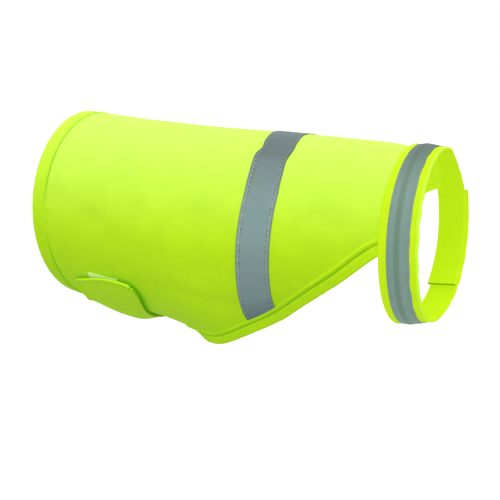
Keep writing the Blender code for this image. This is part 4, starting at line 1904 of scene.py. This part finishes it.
@dataclass
class BellyHooks(Cut):
    """Hook tape sewn on the right flank, with a corner that looks out above the flap."""

    rear: float = 0.0465
    front: float = 0.073
    top: float = 120.6
    top_fall: float = 0.6
    bottom: float = 152.0
    wall: float = 0.001
    hook_pitch: float = 0.0014
    hook_height: float = 0.0006
    seam_inset: float = 0.06
    steps: tuple[int, int] = (26, 42)

    def surface(self, along: Values, across: Values) -> Values:
        """Points of the tape's outer face."""
        return self.trunk.point(*self.spot(along, across), self.wall * 0.8)

    def spot(self, along: Values, across: Values) -> tuple[Values, Values]:
        """Station and turn of shares along and up the tape."""
        station = mix(self.rear, self.front, along)
        return station, mix(self.bottom, self.top + self.top_fall * along, across)

    def shape(self) -> Mesh:
        """The tape's ground with its wall."""

        def cut(along: Values, across: Values) -> Values:
            """Places on the flat cut."""
            return self.trunk.cut_at(*self.spot(along, across))

        tape = bend_grid(self.steps, self.surface, cut)
        thicken(tape, self.wall * 0.7)
        return tape

    def sewing(self, thread: Copies) -> int:
        """One row of stitches round the tape.

        Args:
            thread: gathers them.

        Returns:
            How many there are.
        """
        low, high = self.seam_inset, 1.0 - self.seam_inset
        knots = np.linspace(0.0, 4.0, 400)
        along = np.interp(knots, range(5), (low, low, high, high, low))
        across = np.interp(knots, range(5), (low, high, high, low, low))
        out = self.trunk.normal(*self.spot(along, across))
        seam = self.surface(along, across) + out * 0.0001
        return self.stitching.sew(thread, seam, out, lengths_along(seam))

    def build(self, atelier: Atelier) -> bpy.types.Object:
        """Make the tape, its stitches and its field of small hooks.

        Args:
            atelier: places the pieces.

        Returns:
            The tape's own piece.
        """
        piece = super().build(atelier)
        hook = bmesh.new()
        stem = Matrix.Translation((0.0, 0.0, 0.35))
        bmesh.ops.create_cone(
            hook, cap_ends=True, segments=6, radius1=0.22, radius2=0.15, depth=0.7, matrix=stem
        )
        head = Matrix.Translation((0.0, 0.1, 0.8)) @ Matrix.Diagonal((0.9, 1.3, 0.6, 1.0))
        bmesh.ops.create_uvsphere(hook, u_segments=6, v_segments=4, radius=0.33, matrix=head)
        field_of_hooks = Copies(hook)
        length = math.radians(self.bottom - self.top) * self.trunk.girth_radius
        columns, rows = (int(span / self.hook_pitch) for span in (self.front - self.rear, length))
        columns, rows = (np.arange(1.0, count) / count for count in (columns, rows))
        along, across = (values.ravel() for values in np.meshgrid(columns, rows))
        outs = self.trunk.normal(*self.spot(along, across))
        sides = unit(np.cross(outs, (0.0, 0.0, 1.0)))
        ups = np.cross(outs, sides)
        sizes = (self.hook_height * part for part in (sides, ups, outs))
        field_of_hooks.add(self.surface(along, across), *sizes)
        atelier.place("belly_hook_field", field_of_hooks.join(), HOOK_PLASTIC, self.slot)
        return piece


@dataclass
class NeckStrap(Cut):
    """Strap round the neck, folded from cloth, whose ends lap on the left."""

    neck: Neck = Neck()
    left_end: float = -134.5
    right_end: float = 295.0
    width: float = 0.026
    rolled: float = 0.0011
    roll_height: float = 0.00035
    seam_inset: float = 0.003
    seam_dent: float = 0.0003
    pucker: float = 0.00022
    waver: float = 0.00035
    stops: int = 400
    girth_radius: float = 0.0585
    yarn: Finish = STRAP_THREAD

    def run(self, turn: Values) -> Values:
        """Distance round the neck that gathers and stitches are counted by."""
        return -np.radians(turn) * self.girth_radius

    def relief(self, off: Values, turn: Values) -> Values:
        """Rolled edges, sewn grooves and gathered margins.

        Args:
            off: distances from the rear edge.
            turn: degrees round the neck.

        Returns:
            Metres outwards.
        """
        from_edge = np.minimum(off, self.width - off)
        front = off > 0.5 * self.width
        rolled = self.roll_height * bump_at(from_edge - 0.0012, 0.0011)
        sunk = self.seam_dent * bump_at(from_edge - self.seam_inset, 0.0007)
        uneven = np.where(front, ripple(self.run(turn), 0.0125, 0.6), ripple(self.run(turn), 0.0145, 2.9))
        margin = bump_at(from_edge - 0.0042, 0.0024)
        return rolled - sunk + self.pucker * uneven * margin

    def corners(self) -> Values:
        """Cross-section: the outer face, the front roll, the inner face and the rear roll."""
        half = STRAP_WALL / 2
        flat = [0.0011, 0.0018, 0.0024, 0.0028, 0.0032, 0.0038, 0.0046, 0.0056, 0.0066, 0.0082, 0.0106]
        across = np.array(flat + [self.width - spot for spot in reversed(flat)])
        outer = [(spot, 0.0) for spot in across]
        turns = np.linspace(0.35, math.pi - 0.35, 5)
        roll = [(self.rolled * (1.0 - math.sin(turn)), half * math.cos(turn)) for turn in turns]
        front = [(self.width - inset, rise - half) for inset, rise in roll]
        inner = [(spot, -STRAP_WALL) for spot in across[::-2]]
        rear = [(inset, -rise - half) for inset, rise in roll]
        return np.array(outer + front + inner + rear)

    def place(self, share: Values, off: Values, height: Values) -> Values:
        """Points of the strap from its left end to its right end."""
        turn = mix(self.left_end, self.right_end, share)
        outward = smooth_step(-STRAP_WALL, 0.0, height) * 2.0 - 1.0
        height = height + outward * self.relief(off, turn) * np.where(outward < 0.0, 0.6, 1.0)
        sway = self.waver * ripple(self.run(turn), 0.015, 0.9) * smooth_step(0.55, 1.0, off / self.width)
        return self.neck.point((off + sway) / self.width, turn, height)

    def shape(self) -> Mesh:
        """The folded strap, with painted shade on its two cut ends."""
        length = math.radians(self.right_end - self.left_end) * self.girth_radius
        strap = sweep(self.stops, self.corners(), self.place, length)
        for face in strap.faces:
            face.material_index = int(len(face.verts) > 4)
        return strap

    def sewing(self, thread: Copies) -> int:
        """Rows of stitches inside both long edges, and across both ends.

        Args:
            thread: gathers them.

        Returns:
            How many there are.
        """
        count = 0
        for off in (self.seam_inset, self.width - self.seam_inset):
            turn = np.linspace(self.right_end - 2.5, self.left_end + 2.5, 900)
            count += self.row(thread, np.full_like(turn, off), turn)
        for turn in (self.right_end - 3.0, self.left_end + 3.0):
            off = np.linspace(self.seam_inset, self.width - self.seam_inset, 80)
            count += self.row(thread, off, np.full_like(off, turn))
        return count

    def row(self, thread: Copies, off: Values, turn: Values) -> int:
        """One row of stitches on the strap's outer face."""
        across = off / self.width
        out = self.neck.normal(across, turn)
        seam = self.neck.point(across, turn, self.relief(off, turn) + 0.00012)
        return self.stitching.sew(thread, seam, out, lengths_along(seam))


@dataclass
class NeckBand(Cut):
    """Reflective band on the neck strap, with a lengthwise fold pressed into it."""

    strap: NeckStrap | None = None
    turn_from: float = -62.0
    turn_to: float = 283.0
    rear: float = 0.195
    front: float = 0.765
    wall: float = 0.0004
    fold_share: float = 0.31
    fold_height: float = 0.00075
    steps: tuple[int, int] = (20, 330)
    seam_inset: float = 0.0013
    waver: float = 0.00028
    yarn: Finish = NECK_GREY_THREAD
    stitching: Stitching = Stitching(pitch=0.0034, shown=0.0028, width=0.00036, height=0.0002)

    @property
    def width(self) -> float:
        """The band's width."""
        return (self.front - self.rear) * self.strap.width

    def point(self, share: Values, turn: Values, lift: float) -> Values:
        """Points of the band, or off it by lift.

        Args:
            share: shares over the band.
            turn: degrees round the neck.
            lift: metres outwards.

        Returns:
            One point for each place.
        """
        run = self.strap.run(turn)
        off = mix(self.rear, self.front, share) * self.strap.width
        off = off + self.waver * ripple(run, 0.018, 1.7) * smooth_step(0.5, 1.0, share)
        rise = np.interp(share, (0.0, self.fold_share, 1.0), (0.0, 1.0, 0.0))
        sunk = bump_at((0.5 - np.abs(share - 0.5)) * self.width - self.seam_inset, 0.0008)
        gathers = 0.00014 * ripple(run, 0.011, 0.6) * smooth_step(0.55, 1.0, share)
        lift = lift + self.fold_height * rise - 0.00015 * sunk + gathers + self.strap.relief(off, turn)
        return self.strap.neck.point(off / self.strap.width, turn, lift)

    def shape(self) -> Mesh:
        """The band with its thin wall."""
        lift = self.wall + 0.00012

        def surface(along: Values, across: Values) -> Values:
            """Points of the outer face."""
            return self.point(along, mix(self.turn_to, self.turn_from, across), lift)

        def cut(along: Values, across: Values) -> Values:
            """Places on the flat cut."""
            turn = mix(self.turn_to, self.turn_from, across)
            return np.stack([self.strap.run(turn), (along - 0.5) * self.width], axis=-1)

        band = bend_grid(self.steps, surface, cut)
        thicken(band, self.wall)
        return band

    def sewing(self, thread: Copies) -> int:
        """Two rows of stitches along the band's edges.

        Args:
            thread: gathers them.

        Returns:
            How many there are.
        """
        count = 0
        inset = self.seam_inset / self.width
        for share in (inset, 1.0 - inset):
            turn = np.linspace(self.turn_to - 1.0, self.turn_from + 1.0, 900)
            shares = np.full_like(turn, share)
            across = mix(self.rear, self.front, shares)
            out = self.strap.neck.normal(across, turn)
            seam = self.point(shares, turn, self.wall + 0.00018)
            count += self.stitching.sew(thread, seam, out, self.strap.run(turn))
        return count


@dataclass
class NeckHooks(Cut):
    """Hook tape between the strap's lapped ends."""

    neck: Neck = Neck()
    turn_from: float = 231.0
    turn_to: float = 286.0
    rear: float = 0.16
    front: float = 0.84
    wall: float = 0.001
    steps: tuple[int, int] = (12, 50)

    def shape(self) -> Mesh:
        """The tape with its wall."""

        def surface(along: Values, across: Values) -> Values:
            """Points of the outer face."""
            turn = mix(self.turn_to, self.turn_from, across)
            return self.neck.point(mix(self.rear, self.front, along), turn, -STRAP_WALL - SEAM_GAP)

        def cut(along: Values, across: Values) -> Values:
            """Places on the flat cut."""
            return np.stack([along * (self.front - self.rear) * 0.026, across * 0.056], axis=-1)

        tape = bend_grid(self.steps, surface, cut)
        thicken(tape, self.wall)
        return tape


# ---- Studio ----


@dataclass(frozen=True)
class Studio:
    """Plain pale floor far below the vest, soft light and the photograph's camera."""

    azimuth: float = 28.8
    elevation: float = 10.0
    distance: float = 0.769
    aim: tuple[float, float, float] = (0.013, 0.0, -0.0908)
    lens: float = 72.0
    sensor: float = 36.0
    floor_drop: float = 0.36
    floor_size: float = 30.0
    ambient: float = 0.68
    floor_grey: float = 0.4
    key: tuple[float, float, float, float] = (1.75, 60.0, 28.0, 70.0)
    front: tuple[float, float, float, float] = (0.45, 90.0, 0.0, 12.0)
    side: tuple[float, float, float, float] = (0.5, 80.0, 90.0, 45.0)
    back: tuple[float, float, float, float] = (0.4, 80.0, 190.0, 40.0)

    @staticmethod
    def towards(azimuth: float, elevation: float) -> Vector:
        """Direction from the vest to a place at this azimuth and elevation."""
        turn, rise = math.radians(azimuth), math.radians(elevation)
        return Vector((math.sin(turn) * math.cos(rise), -math.cos(turn) * math.cos(rise), math.sin(rise)))

    def set_camera(self) -> None:
        """Create the camera at the photograph's viewing angle."""
        data = bpy.data.cameras.new("photograph_view")
        data.lens, data.sensor_width = self.lens, self.sensor
        data.clip_start = 0.01
        camera = bpy.data.objects.new("photograph_view", data)
        back = self.towards(self.azimuth, self.elevation)
        camera.location = Vector(self.aim) + back * self.distance
        camera.rotation_euler = back.to_track_quat("Z", "Y").to_euler()
        bpy.context.scene.collection.objects.link(camera)
        bpy.context.scene.camera = camera

    def set_sun(self, name: str, strength: float, angle: float, azimuth: float, elevation: float) -> None:
        """Hang one broad soft light.

        Args:
            name: the light's name.
            strength: its strength.
            angle: how wide it looks, in degrees.
            azimuth: where it stands.
            elevation: how high it stands.
        """
        data = bpy.data.lights.new(name, "SUN")
        data.energy, data.angle = strength, math.radians(angle)
        light = bpy.data.objects.new(name, data)
        light.rotation_euler = self.towards(azimuth, elevation).to_track_quat("Z", "Y").to_euler()
        bpy.context.scene.collection.objects.link(light)

    def set_world(self) -> None:
        """White all round: full white to the eye, dimmer as light."""
        world = bpy.data.worlds.new("white_studio")
        bpy.context.scene.world = world
        world.use_nodes = True
        recipe = Recipe(world.node_tree)
        seen, light = recipe.add("Background"), recipe.add("Background")
        recipe.wire(seen, Color=(1.0, 1.0, 1.0, 1.0))
        recipe.wire(light, Color=(1.0, 1.0, 1.0, 1.0), Strength=self.ambient)
        recipe.end_on("OutputWorld", recipe.add("LightPath").outputs["Is Camera Ray"], light, seen)

    def set_floor(self) -> None:
        """Lay the floor, white to the eye, grey as light, and clear from below."""
        low = cad_box[0].z - self.floor_drop
        sheet = bmesh.new()
        place = Matrix.Translation((0.0, 0.0, low))
        bmesh.ops.create_grid(sheet, x_segments=1, y_segments=1, size=self.floor_size, matrix=place)
        mesh = bpy.data.meshes.new("studio_floor")
        sheet.to_mesh(mesh)
        sheet.free()
        floor = bpy.data.objects.new("studio_floor", mesh)
        bpy.context.scene.collection.objects.link(floor)
        material = bpy.data.materials.new("pale_floor")
        material.use_nodes = True
        recipe = Recipe(material.node_tree)
        shader, clear = recipe.add("BsdfDiffuse"), recipe.add("BsdfTransparent")
        to_eye = recipe.add("LightPath").outputs["Is Camera Ray"]
        recipe.wire(shader, Color=recipe.blend(to_eye, (self.floor_grey,) * 3, (0.96, 0.96, 0.96)))
        from_below = recipe.add("NewGeometry").outputs["Backfacing"]
        recipe.end_on("OutputMaterial", from_below, shader, clear)
        mesh.materials.append(material)
        floor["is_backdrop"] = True

    def set_up(self) -> None:
        """Camera, lights, world and floor."""
        self.set_camera()
        lights = {"key": self.key, "front": self.front, "side": self.side, "back": self.back}
        for name, light in lights.items():
            self.set_sun(f"{name}_light", *light)
        self.set_world()
        self.set_floor()
        bpy.context.scene.view_settings.view_transform = "Standard"


def vest_cuts() -> list[Cut]:
    """Every cut of the vest, in the order in which it is sewn."""
    strap = NeckStrap(
        "neck_strap_cloth", "collar_strap", Slot.STRAP, STRAP_KNIT, (0.4385, 0.0275), Hold.FOLDED,
        lining=SHADED_KNIT,
    )
    return [
        BackCloth(
            "back_cloth", "body_panel", Slot.CLOTH, BACK_KNIT, (0.462, 0.281), Hold.DRAPED,
            area=0.0965, lining=INSIDE_KNIT,
        ),
        RimBinding(
            "rim_binding", "rear_hem_binding", Slot.BINDING, RIM_KNIT, (0.455, 0.02), Hold.FOLDED,
            ("back_cloth",), lining=INSIDE_KNIT, phase=0.4,
        ),
        ChestBinding(
            "chest_edge_right", "chest_binding_right", Slot.BINDING, EDGE_KNIT, (0.245, 0.018),
            Hold.FOLDED, ("back_cloth",), lining=INSIDE_KNIT, side=Side.RIGHT, phase=1.9,
        ),
        ChestBinding(
            "chest_edge_left", "chest_binding_left", Slot.BINDING, EDGE_KNIT, (0.245, 0.018),
            Hold.FOLDED, ("back_cloth",), lining=INSIDE_KNIT, side=Side.LEFT, phase=3.1,
        ),
        BackBand(
            "back_band", "body_reflective_tape", Slot.BAND, BACK_BAND, (0.3, 0.025), Hold.LAID,
            ("back_cloth",),
        ),
        BellyFlap(
            "belly_flap_cloth", "belly_flap", Slot.CLOTH, BACK_KNIT, (0.115, 0.085), Hold.LAID,
            ("back_cloth",), area=0.0086, lining=SHADED_KNIT,
        ),
        BellyHooks(
            "belly_hook_ground", "belly_hook_tape", Slot.HOOKS, HOOK_GROUND, (0.045, 0.026), Hold.LAID,
            ("back_cloth",),
        ),
        strap,
        NeckBand(
            "neck_band", "collar_reflective_tape", Slot.STRAP_BAND, NECK_BAND, (0.372, 0.0148),
            Hold.LAID, ("neck_strap_cloth",), strap=strap,
        ),
        NeckHooks(
            "neck_hook_ground", "collar_hook_tape", Slot.HOOKS, HOOK_GROUND, (0.062, 0.018), Hold.LAID,
            ("neck_strap_cloth",),
        ),
    ]


def write_sizes() -> None:
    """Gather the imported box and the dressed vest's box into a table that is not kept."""
    boxes = {"cad": cad_box, "visual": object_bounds()}
    {name: [list(corner) for corner in box] for name, box in boxes.items()}


def main() -> None:
    """Sew every cut, then set up the studio."""
    logging.basicConfig(level=logging.INFO, format="%(message)s")
    atelier = Atelier()
    for cut in vest_cuts():
        cut.build(atelier)
    Studio().set_up()
    write_sizes()


if __name__ == "__main__":
    main()
